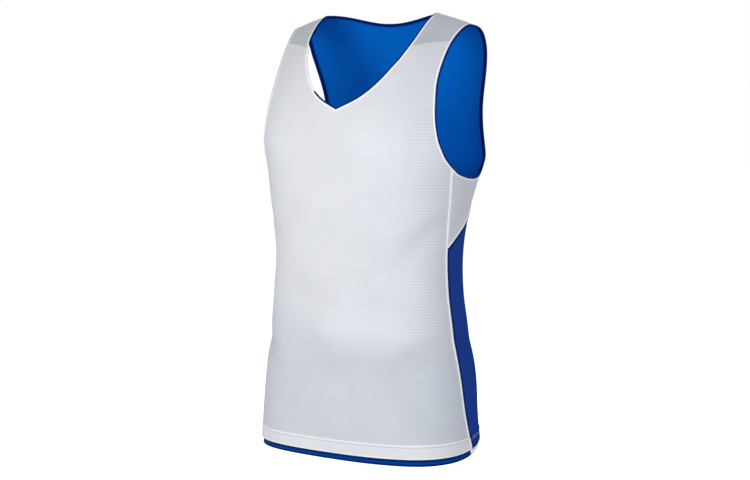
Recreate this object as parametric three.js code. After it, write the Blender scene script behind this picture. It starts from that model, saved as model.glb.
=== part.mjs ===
// A reversible basketball tank, worn and filled out with no wearer in it. Two layers of thin knit with the
// same cut, a white one outside and a blue one inside, meet at the neck and armholes and hang apart at the hem.
// Each layer has a front, a back whose top comes over the shoulder, and on each side an upper and a lower insert.
// x runs to the wearer's left, y to the back and z up. Lengths are in millimetres, angles in degrees.
// A place on the cloth is an angle round the figure, 0 at the wearer's left side and 90 in front, and a row. Up to
// the armholes a row is a height. Above them rows climb the shoulder, to the ridge and down in front of it.
import * as THREE from "three";

// Driving dimensions of the garment.
const SHOULDER_POINT = 720; // height of the neck end of the shoulder over row 0
const NECK_HALF = 105; // half the neck's width at the shoulder
const TIP_HALF = 162; // half the width over the outer ends of the shoulders
const LAYER_WALL = 1.2; // thickness of one layer
const LAYER_GAP = 0.5; // between the two layers
const SEAM_GAP = 0.4; // along the cloth, between two pieces that are sewn together
const HEM_STEP = 12; // how far the lining hangs below the outer layer
const HEM_DEPTH = 23; // height of the turned-up hem
const HEM_FOLD = 0.7; // how far the turned-up cloth stands out
const HEM_EDGE = 1; // height over which the fold ends
const HEMS_TOP = 48; // above this height both layers are divided alike

// How high the hem hangs over row 0, at angles round the figure from the wearer's left side by the front.
const HEM_RISE = [
  { angle: -90, rise: 18 },
  { angle: -50, rise: 25 },
  { angle: -22, rise: 27 },
  { angle: 0, rise: 10.5 },
  { angle: 25, rise: 4 },
  { angle: 55, rise: 6 },
  { angle: 90, rise: 9 },
  { angle: 125, rise: 11 },
  { angle: 180, rise: 11 },
  { angle: 270, rise: 18 },
];
const RISE_TOP = 160; // row at which that rise has died out

// Rings round the figure that fills the cloth, from the hem up. z is the height over row 0, middle how far back
// the ring's middle lies, half the half width, front and back the depths, and the two roundnesses run from 2, an
// ellipse, towards a box.
const RINGS = [
  { z: 0, middle: 0, half: 187, front: 128, back: 116, frontRound: 2.4, backRound: 2.4 },
  { z: 66, middle: -1, half: 183, front: 127, back: 117, frontRound: 2.4, backRound: 2.4 },
  { z: 136, middle: 0, half: 177, front: 126, back: 118, frontRound: 2.4, backRound: 2.5 },
  { z: 201, middle: -3, half: 168, front: 117, back: 104, frontRound: 2.4, backRound: 2.6 },
  { z: 271, middle: -6, half: 160, front: 113, back: 96, frontRound: 2.4, backRound: 2.6 },
  { z: 336, middle: -4, half: 158, front: 111, back: 96, frontRound: 2.4, backRound: 2.6 },
  { z: 396, middle: -1, half: 165, front: 119, back: 102, frontRound: 2.4, backRound: 2.6 },
  { z: 456, middle: 0, half: 173, front: 120, back: 123, frontRound: 2.4, backRound: 3.1 },
  { z: 484, middle: 0, half: 178, front: 120, back: 126, frontRound: 2.4, backRound: 3.7 },
  { z: 516, middle: 0, half: 184, front: 120, back: 129, frontRound: 2.4, backRound: 3.5 },
];

// Above this row the figure leans in to the shoulder ridge, like a dome over the last ring.
const DOME_FROM = 516;
const DOME_ROWS = 260; // from there to the ridge, about the cloth's length
const FRONT_DOME = 1.5; // roundness of the dome in front
const BACK_DOME_MIDDLE = 1.6; // and behind, at its middle and its sides
const BACK_DOME_SIDE = 3.5;
const BACK_FLARE = 0.03; // share by which the back widens half way up the dome
const RIDGE = DOME_FROM + DOME_ROWS;
const RIDGE_BACK = 37; // how far behind the mid plane the ridge lies
const SHOULDER_DROP = 32; // from the neck's middle to the outer end of the shoulder

// Outlines of the cut. x is the distance from the middle.
const V_POINT = 556;
const NECK_FRONT = [
  { row: V_POINT, x: 0 },
  { row: 570, x: 32 },
  { row: 586, x: 53 },
  { row: 604, x: 67.5 },
  { row: 624, x: 78.5 },
  { row: 648, x: 89 },
  { row: 696, x: 100 },
  { row: RIDGE, x: NECK_HALF },
];
const BACK_NECK = 712; // the back neck's lowest row
const BACK_NECK_ROUND = 2.2; // its curve, as the roundness of a superellipse

// Side seams, as angles round the figure from the wearer's side towards the front.
const FRONT_SEAM = [
  { z: 0, angle: -1 },
  { z: 86, angle: 5 },
  { z: 176, angle: 7.5 },
  { z: 336, angle: 9.5 },
  { z: 474, angle: 13 },
];
const BACK_SEAM = [
  { z: 0, angle: -30 },
  { z: 226, angle: -28 },
  { z: 474, angle: -28 },
];

// Where the armhole meets the side seams, and its lower edge across the insert between them.
const PIT_FRONT = 474;
const PIT_BACK = 474;
const PIT = [
  { across: 0, z: PIT_FRONT },
  { across: 0.12, z: 464.5 },
  { across: 0.3, z: 458.5 },
  { across: 0.55, z: 455 },
  { across: 0.75, z: 457 },
  { across: 0.9, z: 464 },
  { across: 1, z: PIT_BACK },
];
// Where the insert's upper piece ends and its lower one begins.
const INSERT_JOIN = [
  { across: 0, z: 346 },
  { across: 0.5, z: 386 },
  { across: 1, z: 427 },
];

const ARMHOLE_FRONT = [
  { row: PIT_FRONT, x: ring(at(FRONT_SEAM, "z", "angle", PIT_FRONT), PIT_FRONT).x },
  { row: 481, x: 169 },
  { row: 490, x: 166.5 },
  { row: 500, x: 164.6 },
  { row: 513, x: 162.3 },
  { row: 530, x: 159 },
  { row: 548, x: 156 },
  { row: 576, x: 153 },
  { row: 613, x: 150 },
  { row: 659, x: 150.5 },
  { row: 711, x: 153.5 },
  { row: RIDGE, x: TIP_HALF },
];
const ARMHOLE_BACK = [
  { row: PIT_BACK, x: ring(at(BACK_SEAM, "z", "angle", PIT_BACK), PIT_BACK).x },
  { row: 488, x: 163 },
  { row: 502, x: 158.5 },
  { row: 520, x: 153 },
  { row: 540, x: 149.5 },
  { row: 560, x: 148.5 },
  { row: 576, x: 150.5 },
  { row: 595, x: 155 },
  { row: 621, x: 162 },
  { row: 645, x: 166 },
  { row: 700, x: 166 },
  { row: RIDGE, x: TIP_HALF },
];
// The shoulder seam lies in front of the ridge, at this row of the front halfway along, and runs back outwards.
const SHOULDER_SEAM = 689;
const SEAM_SLANT = 34; // rows from its neck end to its outer end

// Soft folds pressed into both layers, or a swell where the depth is negative. angle and z are the middle, reach
// and width the half length and half width of the trough, tilt its turn from level, and depth how far it goes in.
const FOLDS = [
  { angle: 96, z: 168, reach: 58, width: 17, tilt: 42, depth: 4.5 }, // across the belly
  { angle: 113, z: 238, reach: 48, width: 17, tilt: 62, depth: 3.5 }, // beside the belly
  { angle: 28, z: 184, reach: 50, width: 17, tilt: -21, depth: 4 }, // over the left hip
  { angle: 152, z: 180, reach: 38, width: 16, tilt: 29, depth: 4 }, // over the right hip
  { angle: 28, z: 362, reach: 52, width: 18, tilt: -42, depth: 4 }, // under the left arm
  { angle: 72, z: 224, reach: 105, width: 30, tilt: 0, depth: -3 }, // the belly's swell
  { angle: 70, z: 164, reach: 110, width: 30, tilt: 0, depth: 3 }, // and the hollow below it
];
const FOLD_RADIUS = 150; // turns an angle into a length round the figure

// How finely the cloth is divided.
const HALF_COLUMNS = 9; // from the middle of a panel to its side
const INSERT_COLUMNS = 5;
const BODY_STEPS = 15; // rows from the hem's fold to the armhole
const FRONT_CHEST_STEPS = 7; // rows from the armhole's foot to the neck
const BACK_CHEST_STEPS = 11;
const FRONT_STRAP_STEPS = 11; // rows from the V to the shoulder seam, closer together near the V
const V_SPREAD = 1.3;
const BACK_NECK_STEPS = 6; // rows up the curve of the back neck
const OVER_STEPS = 6; // rows from the ridge down to the shoulder seam
const LOWER_INSERT_STEPS = 11;
const UPPER_INSERT_STEPS = 5;
const ARC_SAMPLES = 48; // points that measure a row's length
const HALVINGS = 40; // steps of the search for an angle
const TURN_STEP = 0.5; // steps to either side of a place that find which way it faces
const ROW_STEP = 1;

// Reads a column of a table at a value of another, on a smooth curve through the rows.
function at(table, by, column, value) {
  const last = table.length - 1;
  const place = Math.min(Math.max(value, table[0][by]), table[last][by]);
  let i = 0;
  while (i < last - 1 && place > table[i + 1][by]) i += 1;
  const slope = (k) => {
    const below = table[Math.max(k - 1, 0)];
    const above = table[Math.min(k + 1, last)];
    return (above[column] - below[column]) / (above[by] - below[by]);
  };
  const span = table[i + 1][by] - table[i][by];
  const t = (place - table[i][by]) / span;
  const rest = 1 - t;
  return (
    table[i][column] * rest * rest * (1 + 2 * t) +
    table[i + 1][column] * t * t * (1 + 2 * rest) +
    span * t * rest * (slope(i) * rest - slope(i + 1) * t)
  );
}

function radians(angle) {
  return (angle * Math.PI) / 180;
}

function mix(from, to, share) {
  return from + (to - from) * share;
}

// The length of a quarter superellipse's radius in the direction of a turn from its first axis.
function superRadius(turn, round) {
  return (Math.abs(Math.cos(turn)) ** round + Math.abs(Math.sin(turn)) ** round) ** (-1 / round);
}

// The point at an angle on the ring at a height.
function ring(angle, z) {
  const turn = radians(angle);
  const side = angle > 0 ? "front" : "back";
  const round = at(RINGS, "z", side + "Round", z);
  const across = Math.cos(turn) / at(RINGS, "z", "half", z);
  const along = Math.sin(turn) / at(RINGS, "z", side, z);
  const reach = (Math.abs(across) ** round + Math.abs(along) ** round) ** (-1 / round);
  return { x: reach * Math.cos(turn), y: at(RINGS, "z", "middle", z) - reach * Math.sin(turn) };
}

// How far the figure leans in at a row: nothing below the dome, and a quarter turn at the ridge.
function leanAt(row) {
  return (Math.max(row - DOME_FROM, 0) / DOME_ROWS) * (Math.PI / 2);
}

// How much wider than the last ring the dome is at a row. Only the back widens, round the shoulder blades.
function spread(row, facing) {
  return facing > 0 ? 1 : 1 + BACK_FLARE * Math.sin(2 * leanAt(row)) ** 2;
}

// The figure's surface on the wearer's left, at an angle and a row. Rows past the ridge come down in front.
function figure(angle, row) {
  if (row > RIDGE) return figure(-angle, 2 * RIDGE - row);
  const level = Math.min(row, DOME_FROM);
  const { x: across, y } = ring(angle, level);
  const x = across * spread(row, angle > 0 ? 1 : -1);
  const lean = leanAt(row);
  const backDome = mix(BACK_DOME_MIDDLE, BACK_DOME_SIDE, (x / TIP_HALF) ** 2);
  const reach = superRadius(lean, angle > 0 ? FRONT_DOME : backDome);
  const neckDrop = SHOULDER_DROP * (NECK_HALF / TIP_HALF) ** 2;
  const ridgeZ = SHOULDER_POINT + neckDrop - SHOULDER_DROP * (x / TIP_HALF) ** 2;
  return new THREE.Vector3(
    x,
    mix(RIDGE_BACK, y, reach * Math.cos(lean)),
    mix(level, ridgeZ, reach * Math.sin(lean)),
  );
}

// How deep the folds press the cloth in at an angle and a height, with the wearer's right as angles over 90.
function foldDepth(angle, z) {
  let depth = 0;
  for (const fold of FOLDS) {
    const tilt = radians(fold.tilt);
    const around = radians(angle - fold.angle) * FOLD_RADIUS;
    const up = z - fold.z;
    const along = (around * Math.cos(tilt) + up * Math.sin(tilt)) / fold.reach;
    const across = (up * Math.cos(tilt) - around * Math.sin(tilt)) / fold.width;
    depth += fold.depth * Math.exp(-along * along - across * across);
  }
  return depth;
}

// Outward direction of a surface at an angle and a row, from its own points on either side.
function outward(surface, angle, row) {
  const turned = surface(angle + TURN_STEP, row).sub(surface(angle - TURN_STEP, row));
  const raised = surface(angle, row + ROW_STEP).sub(surface(angle, row - ROW_STEP));
  return raised.cross(turned).normalize();
}

// The cloth between the two layers: the figure, pressed in by the folds.
function cloth(angle, row, hand) {
  const place = figure(angle, row);
  const seen = hand > 0 ? angle : 180 - angle;
  const depth = row > RIDGE ? 0 : foldDepth(seen, place.z);
  const low = 1 - Math.min(row, RISE_TOP) / RISE_TOP;
  const normal = outward(figure, angle, row);
  place.z += at(HEM_RISE, "angle", "rise", seen) * low * low;
  return place.addScaledVector(normal, -depth);
}

// The angle at which a row is a given distance from the middle. Behind, angles are negative.
function angleAt(x, row, facing) {
  let low = 0;
  let high = 90;
  for (let i = 0; i < HALVINGS; i += 1) {
    const middle = (low + high) / 2;
    if (ring(facing * middle, Math.min(row, DOME_FROM)).x * spread(row, facing) > x) low = middle;
    else high = middle;
  }
  return facing * high;
}

// The angles of a front or back panel's edges at a row: its middle or neck, and its side or armhole. Beyond the
// ridge the back panel lies in front, where angles are positive.
function edgeAngles(row, facing) {
  if (row > RIDGE) {
    const edges = edgeAngles(2 * RIDGE - row, 1);
    return edges.map((angle) => -angle);
  }
  const front = facing > 0;
  const seam = front ? FRONT_SEAM : BACK_SEAM;
  const pit = front ? PIT_FRONT : PIT_BACK;
  const neckFrom = front ? V_POINT : BACK_NECK;
  let neck = 0;
  if (row > neckFrom && front) neck = at(NECK_FRONT, "row", "x", row);
  if (row > neckFrom && !front) {
    const down = (RIDGE - row) / (RIDGE - BACK_NECK);
    neck = NECK_HALF * (1 - down ** BACK_NECK_ROUND) ** (1 / BACK_NECK_ROUND);
  }
  const armhole = at(front ? ARMHOLE_FRONT : ARMHOLE_BACK, "row", "x", row);
  const side = row > pit ? angleAt(armhole, row, facing) : at(seam, "z", "angle", row);
  return [angleAt(neck, row, facing), side];
}

// Angles that divide a row evenly by length, stopping short of its far end by a trim.
function divide(row, from, to, columns, trim) {
  const lengths = [0];
  for (let i = 1; i <= ARC_SAMPLES; i += 1) {
    const before = figure(mix(from, to, (i - 1) / ARC_SAMPLES), row);
    const here = figure(mix(from, to, i / ARC_SAMPLES), row);
    lengths.push(lengths[i - 1] + before.distanceTo(here));
  }
  const whole = lengths[ARC_SAMPLES];
  const angles = [];
  for (let column = 0; column <= columns; column += 1) {
    const length = mix(trim.near, whole - trim.far, column / columns);
    let i = 1;
    while (i < ARC_SAMPLES && lengths[i] < length) i += 1;
    const part = (length - lengths[i - 1]) / (lengths[i] - lengths[i - 1]);
    angles.push(mix(from, to, (i - 1 + part) / ARC_SAMPLES));
  }
  return angles;
}

// The two layers: how far each stands off the cloth's middle, which way its hem's fold goes, and its hem's height.
const LAYERS = [
  { name: "outer", near: LAYER_GAP / 2, far: LAYER_GAP / 2 + LAYER_WALL, fold: 1, hem: HEM_STEP },
  { name: "lining", near: -LAYER_GAP / 2 - LAYER_WALL, far: -LAYER_GAP / 2, fold: -1, hem: 0 },
];

// A sheet of points and triangles that becomes a closed wall.
class Sheet {
  constructor(layer) {
    this.layer = layer;
    this.points = [];
    this.triangles = [];
  }

  // Adds a point of the cloth and returns its number. A raised point is in the turned-up hem.
  add(angle, row, hand, raised) {
    const place = cloth(angle, row, hand);
    const normal = outward((a, r) => cloth(a, r, hand), angle, row);
    place.x *= hand;
    normal.x *= hand;
    const { near, far, fold } = this.layer;
    const low = raised && fold < 0 ? near - HEM_FOLD : near;
    const high = raised && fold > 0 ? far + HEM_FOLD : far;
    this.points.push({
      inside: place.clone().addScaledVector(normal, low),
      outside: place.clone().addScaledVector(normal, high),
    });
    return this.points.length - 1;
  }

  // Adds the four-sided faces between two rows of point numbers. Facing is 1 if the rows run left to right.
  strip(lower, upper, facing) {
    for (let i = 0; i + 1 < lower.length; i += 1) {
      const corners = [lower[i], lower[i + 1], upper[i + 1], upper[i]];
      if (facing < 0) corners.reverse();
      const [a, b, c, d] = corners;
      this.triangles.push([a, b, c], [a, c, d]);
    }
  }

  // Closes the sheet into a wall: its outside, its inside and a rim along every edge that one face has.
  solid() {
    const count = this.points.length;
    const faces = [];
    const rim = new Map();
    for (const [a, b, c] of this.triangles) {
      faces.push(a, b, c, count + a, count + c, count + b);
      for (const [from, to] of [[a, b], [b, c], [c, a]]) {
        if (!rim.delete(to + "," + from)) rim.set(from + "," + to, [from, to]);
      }
    }
    for (const [from, to] of rim.values()) {
      faces.push(to, from, count + from, to, count + from, count + to);
    }
    const places = [...this.points.map((p) => p.outside), ...this.points.map((p) => p.inside)];
    const geometry = new THREE.BufferGeometry().setFromPoints(places);
    geometry.setIndex(faces);
    geometry.computeVertexNormals();
    return geometry;
  }
}

// Rows of a front or back panel, from the hem to its last row. Those in the hem's fold are raised, and a slant
// is how much further up the row is at its outer end than at its inner one.
function panelRows(layer, facing) {
  const front = facing > 0;
  const foldTop = layer.hem + HEM_DEPTH;
  const pit = front ? PIT_FRONT : PIT_BACK;
  const neckFrom = front ? V_POINT : BACK_NECK;
  const rows = [{ row: layer.hem, raised: true }, { row: foldTop, raised: true }, { row: foldTop + HEM_EDGE }];
  for (let i = 0; i <= BODY_STEPS; i += 1) rows.push({ row: mix(HEMS_TOP, pit, i / BODY_STEPS) });
  const toNeck = front ? FRONT_CHEST_STEPS : BACK_CHEST_STEPS;
  for (let i = 1; i <= toNeck; i += 1) rows.push({ row: mix(pit, neckFrom, i / toNeck) });
  const neckRow = rows.length - 1;
  if (!front) {
    for (let i = 1; i <= BACK_NECK_STEPS; i += 1) {
      const turn = ((i / BACK_NECK_STEPS) * Math.PI) / 2;
      rows.push({ row: mix(neckFrom, RIDGE, 1 - Math.cos(turn)) });
    }
  }
  const from = front ? neckFrom : RIDGE;
  const to = front ? SHOULDER_SEAM - SEAM_GAP / 2 : 2 * RIDGE - SHOULDER_SEAM - SEAM_GAP / 2;
  const steps = front ? FRONT_STRAP_STEPS : OVER_STEPS;
  for (let i = 1; i <= steps; i += 1) {
    const share = front ? (i / steps) ** V_SPREAD : i / steps;
    rows.push({ row: mix(from, to, share), slant: facing * SEAM_SLANT * share });
  }
  return { rows, neckRow };
}

// A front or back panel of one layer. Its two halves share the middle column up to the neck.
function panel(layer, facing) {
  const sheet = new Sheet(layer);
  const { rows, neckRow } = panelRows(layer, facing);
  const pit = facing > 0 ? PIT_FRONT : PIT_BACK;
  const middle = [];
  for (const hand of [1, -1]) {
    let below = null;
    rows.forEach(({ row, raised, slant = 0 }, i) => {
      const [from] = edgeAngles(row - slant / 2, facing);
      const [, to] = edgeAngles(row + slant / 2, facing);
      const trim = { near: 0, far: row > pit ? 0 : SEAM_GAP / 2 };
      const angles = divide(row, from, to, HALF_COLUMNS, trim);
      const numbers = angles.map((angle, column) => {
        if (column === 0 && i <= neckRow && hand < 0) return middle[i];
        return sheet.add(angle, row + slant * (column / HALF_COLUMNS - 1 / 2), hand, raised);
      });
      if (hand > 0) middle.push(numbers[0]);
      if (below) sheet.strip(below, numbers, hand * facing);
      below = numbers;
    });
  }
  return sheet.solid();
}

// A side insert's piece between two outlines that give a height across it, with a hem at the bottom or none.
function insert(layer, hand, bottom, top, steps, hemmed) {
  const sheet = new Sheet(layer);
  const foldTop = layer.hem + HEM_DEPTH;
  const lines = [];
  if (hemmed) {
    lines.push({ row: layer.hem, raised: true }, { row: foldTop, raised: true }, { row: foldTop + HEM_EDGE });
  }
  for (let i = 0; i <= steps; i += 1) lines.push({ share: i / steps });
  let below = null;
  for (const line of lines) {
    const numbers = [];
    for (let column = 0; column <= INSERT_COLUMNS; column += 1) {
      const across = column / INSERT_COLUMNS;
      const row = line.row ?? mix(bottom(across), top(across), line.share);
      const [front, back] = [FRONT_SEAM, BACK_SEAM].map((seam) => at(seam, "z", "angle", row));
      const trim = { near: SEAM_GAP / 2, far: SEAM_GAP / 2 };
      const angles = divide(row, front, back, INSERT_COLUMNS, trim);
      numbers.push(sheet.add(angles[column], row, hand, line.raised));
    }
    if (below) sheet.strip(below, numbers, hand);
    below = numbers;
  }
  return sheet.solid();
}

const WHITE = new THREE.MeshStandardMaterial({ color: 0xe4e6ea, roughness: 0.75, metalness: 0 });
const BLUE = new THREE.MeshStandardMaterial({ color: 0x0b4ca6, roughness: 0.7, metalness: 0 });

const tank = new THREE.Group();

function addPiece(name, geometry, material) {
  const mesh = new THREE.Mesh(geometry, material);
  mesh.name = name;
  tank.add(mesh);
}

for (const layer of LAYERS) {
  const outside = layer.name === "outer";
  const main = outside ? WHITE : BLUE;
  const contrast = outside ? BLUE : WHITE;
  addPiece(layer.name + "_front", panel(layer, 1), main);
  addPiece(layer.name + "_back", panel(layer, -1), main);
  for (const [side, hand] of [["left", 1], ["right", -1]]) {
    const join = (across) => at(INSERT_JOIN, "across", "z", across);
    const lowerTop = (across) => join(across) - SEAM_GAP / 2;
    const upperBottom = (across) => join(across) + SEAM_GAP / 2;
    const pit = (across) => at(PIT, "across", "z", across);
    const lower = insert(layer, hand, () => HEMS_TOP, lowerTop, LOWER_INSERT_STEPS, true);
    const upper = insert(layer, hand, upperBottom, pit, UPPER_INSERT_STEPS, false);
    addPiece(layer.name + "_insert_lower_" + side, lower, contrast);
    addPiece(layer.name + "_insert_upper_" + side, upper, main);
  }
}

// The part's origin lies midway between the straps, where the wearer's shoulders carry them.
const STRAP_MIDDLE = (NECK_HALF + TIP_HALF) / 2;
const strapPlace = figure(angleAt(STRAP_MIDDLE, RIDGE, -1), RIDGE);
const UNDERSIDE = LAYER_GAP / 2 + LAYER_WALL;
tank.position.set(0, -strapPlace.y, -strapPlace.z + UNDERSIDE);

export default tank;
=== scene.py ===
"""Looks of a reversible basketball tank in two layers of thin knit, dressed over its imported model.

The tank is worn and filled out with no wearer in it. A white layer outside and a blue one inside meet in
rolled edges at the neck and armholes and hang apart at the hem. x runs to the wearer's left, y to the back
and z up. Lengths of the cut are in millimetres and angles in degrees, as a cutter notes them, and meshes are
in metres. A place on the cloth is an angle round the figure, 0 at the wearer's left side and 90 in front, and
a row. Up to the armholes a row is a height. Above them rows climb the shoulder, to the ridge and down in
front of it.
"""

import logging
import math
from collections.abc import Callable, Sequence
from dataclasses import dataclass, field, replace
from enum import Enum

import bpy
import numpy as np
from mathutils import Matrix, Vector
from mathutils.kdtree import KDTree


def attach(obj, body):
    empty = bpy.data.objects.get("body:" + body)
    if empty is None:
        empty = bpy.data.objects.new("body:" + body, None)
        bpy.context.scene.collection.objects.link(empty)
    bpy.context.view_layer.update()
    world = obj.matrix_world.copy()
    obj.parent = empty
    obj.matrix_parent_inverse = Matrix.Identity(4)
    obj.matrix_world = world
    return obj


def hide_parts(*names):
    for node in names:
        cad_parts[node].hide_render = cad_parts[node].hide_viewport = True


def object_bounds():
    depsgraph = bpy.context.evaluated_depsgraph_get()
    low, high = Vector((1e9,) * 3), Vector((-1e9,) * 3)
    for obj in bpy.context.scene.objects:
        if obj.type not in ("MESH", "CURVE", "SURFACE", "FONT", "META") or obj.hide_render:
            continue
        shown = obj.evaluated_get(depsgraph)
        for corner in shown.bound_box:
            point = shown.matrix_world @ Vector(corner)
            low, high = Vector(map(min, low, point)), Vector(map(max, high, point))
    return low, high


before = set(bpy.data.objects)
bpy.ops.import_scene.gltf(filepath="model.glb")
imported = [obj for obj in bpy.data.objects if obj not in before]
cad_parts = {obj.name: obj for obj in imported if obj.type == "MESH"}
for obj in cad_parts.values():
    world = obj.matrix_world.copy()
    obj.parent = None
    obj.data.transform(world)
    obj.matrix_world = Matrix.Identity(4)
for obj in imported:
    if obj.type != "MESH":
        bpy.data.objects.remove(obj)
CAD_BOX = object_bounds()

log = logging.getLogger("tank")
Row = tuple[float, float]
MM = 0.001  # a millimetre in metres
BODY = "root"
SMOOTH_ANGLE = 55  # degrees between faces, past which an edge stays sharp


def unit(vectors: np.ndarray) -> np.ndarray:
    """The vectors along the last axis at length 1."""
    return vectors / np.linalg.norm(vectors, axis=-1, keepdims=True)


def smooth_step(value: np.ndarray, low: float, high: float) -> np.ndarray:
    """A soft step from 0 at low to 1 at high."""
    t = np.clip((value - low) / (high - low), 0, 1)
    return t * t * (3 - 2 * t)


class Hand(Enum):
    """A side of the wearer, as the sign of x."""

    LEFT = 1
    RIGHT = -1


class Facing(Enum):
    """A side of the garment, as the sign of its angles."""

    FRONT = 1
    BACK = -1


@dataclass(frozen=True)
class Curve:
    """A smooth curve through the rows of a short table of (place, value)."""

    rows: tuple[Row, ...]

    def __call__(self, value: np.ndarray | float) -> np.ndarray:
        """Reads the curve.

        Args:
            value: Places along the table's first column.

        Returns:
            The second column there, held level past the ends.
        """
        x, y = np.array(self.rows, float).T
        last = len(x) - 1
        place = np.clip(np.asarray(value, float), x[0], x[last])
        i = np.clip(np.searchsorted(x, place, side="right") - 1, 0, last - 1)
        below = np.maximum(np.arange(last + 1) - 1, 0)
        above = np.minimum(np.arange(last + 1) + 1, last)
        slope = (y[above] - y[below]) / (x[above] - x[below])
        span = x[i + 1] - x[i]
        t = (place - x[i]) / span
        rest = 1 - t
        ends = y[i] * rest**2 * (1 + 2 * t) + y[i + 1] * t**2 * (1 + 2 * rest)
        return ends + span * t * rest * (slope[i] * rest - slope[i + 1] * t)


@dataclass(frozen=True)
class Ring:
    """One level ring round the figure: half width, depths before and behind, and how boxy each side is."""

    z: float
    middle: float
    half: float
    front: float
    back: float
    front_round: float
    back_round: float


RINGS = (
    Ring(0, 0, 187, 128, 116, 2.4, 2.4),
    Ring(66, -1, 183, 127, 117, 2.4, 2.4),
    Ring(136, 0, 177, 126, 118, 2.4, 2.5),
    Ring(201, -3, 168, 117, 104, 2.4, 2.6),
    Ring(271, -6, 160, 113, 96, 2.4, 2.6),
    Ring(336, -4, 158, 111, 96, 2.4, 2.6),
    Ring(396, -1, 165, 119, 102, 2.4, 2.6),
    Ring(456, 0, 173, 120, 123, 2.4, 3.1),
    Ring(484, 0, 178, 120, 126, 2.4, 3.7),
    Ring(516, 0, 184, 120, 129, 2.4, 3.5),
)


def column(name: str) -> Curve:
    """A column of the rings as a curve over the height."""
    return Curve(tuple((ring.z, getattr(ring, name)) for ring in RINGS))


@dataclass(frozen=True)
class Figure:
    """The general figure that fills the cloth: rings up to the armholes, then a dome in to the ridge."""

    middle: Curve = column("middle")
    half: Curve = column("half")
    front: Curve = column("front")
    back: Curve = column("back")
    front_round: Curve = column("front_round")
    back_round: Curve = column("back_round")
    dome_from: float = 516
    dome_rows: float = 260
    front_dome: float = 1.5
    back_dome_middle: float = 1.6
    back_dome_side: float = 3.5
    back_flare: float = 0.03
    ridge_back: float = 37
    shoulder_point: float = 720
    shoulder_drop: float = 32
    neck_half: float = 105
    tip_half: float = 162

    @property
    def ridge(self) -> float:
        """The row of the shoulder ridge."""
        return self.dome_from + self.dome_rows

    def ring(self, angle: np.ndarray, z: np.ndarray) -> tuple[np.ndarray, np.ndarray]:
        """The point at an angle on the ring at a height.

        Args:
            angle: Angles round the figure.
            z: Heights.

        Returns:
            The x and y of each point.
        """
        turn = np.radians(angle)
        before = angle > 0
        depth = np.where(before, self.front(z), self.back(z))
        boxy = np.where(before, self.front_round(z), self.back_round(z))
        across = np.abs(np.cos(turn)) / self.half(z)
        along = np.abs(np.sin(turn)) / depth
        reach = (across**boxy + along**boxy) ** (-1 / boxy)
        return reach * np.cos(turn), self.middle(z) - reach * np.sin(turn)

    def lean(self, row: np.ndarray) -> np.ndarray:
        """How far the figure leans in at a row: nothing below the dome, and a quarter turn at the ridge."""
        return np.maximum(row - self.dome_from, 0) / self.dome_rows * (math.pi / 2)

    def spread(self, row: np.ndarray, before: np.ndarray) -> np.ndarray:
        """How much wider than the last ring the dome is, which only the back is."""
        return np.where(before, 1, 1 + self.back_flare * np.sin(2 * self.lean(row)) ** 2)

    def surface(self, angle: np.ndarray, row: np.ndarray) -> np.ndarray:
        """The figure's surface on the wearer's left.

        Args:
            angle: Angles round the figure.
            row: Rows, which past the ridge come down in front.

        Returns:
            Points with x, y and z along the last axis.
        """
        angle, row = np.broadcast_arrays(np.asarray(angle, float), np.asarray(row, float))
        over = row > self.ridge
        angle = np.where(over, -angle, angle)
        row = np.where(over, 2 * self.ridge - row, row)
        before = angle > 0
        level = np.minimum(row, self.dome_from)
        across, y = self.ring(angle, level)
        x = across * self.spread(row, before)
        lean = self.lean(row)
        share = (x / self.tip_half) ** 2
        behind = self.back_dome_middle + (self.back_dome_side - self.back_dome_middle) * share
        dome = np.where(before, self.front_dome, behind)
        reach = (np.abs(np.cos(lean)) ** dome + np.abs(np.sin(lean)) ** dome) ** (-1 / dome)
        neck_drop = self.shoulder_drop * (self.neck_half / self.tip_half) ** 2
        ridge_z = self.shoulder_point + neck_drop - self.shoulder_drop * share
        inward, up = reach * np.cos(lean), reach * np.sin(lean)
        return np.stack(
            (x, self.ridge_back + (y - self.ridge_back) * inward, level + (ridge_z - level) * up), axis=-1
        )

    def angle_at(self, x: np.ndarray, row: np.ndarray, before: np.ndarray) -> np.ndarray:
        """The angle at which a row is a given distance from the middle, found by halving.

        Args:
            x: Distances from the middle.
            row: Rows up to the ridge.
            before: Whether each is on the front.

        Returns:
            Angles, which are negative behind.
        """
        facing = np.where(before, 1.0, -1.0)
        low, high = np.zeros_like(row), np.full_like(row, 90.0)
        for _ in range(40):
            middle = (low + high) / 2
            found, _ = self.ring(facing * middle, np.minimum(row, self.dome_from))
            wide = found * self.spread(row, before) > x
            low, high = np.where(wide, middle, low), np.where(wide, high, middle)
        return facing * high


@dataclass(frozen=True)
class Fold:
    """A soft trough pressed into both layers, or a ridge where its depth is negative."""

    angle: float
    z: float
    reach: float
    width: float
    tilt: float
    depth: float


# The largest folds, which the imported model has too, with the first two a little softer here.
LARGE_FOLDS = (
    Fold(96, 168, 46, 22, 42, 4.0),
    Fold(113, 240, 42, 24, 62, 2.6),
    Fold(28, 184, 50, 17, -21, 4),
    Fold(152, 180, 38, 16, 29, 4),
    Fold(28, 362, 52, 18, -42, 4),
    Fold(72, 224, 105, 30, 0, -3),
    Fold(70, 164, 110, 30, 0, 3),
)
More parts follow.
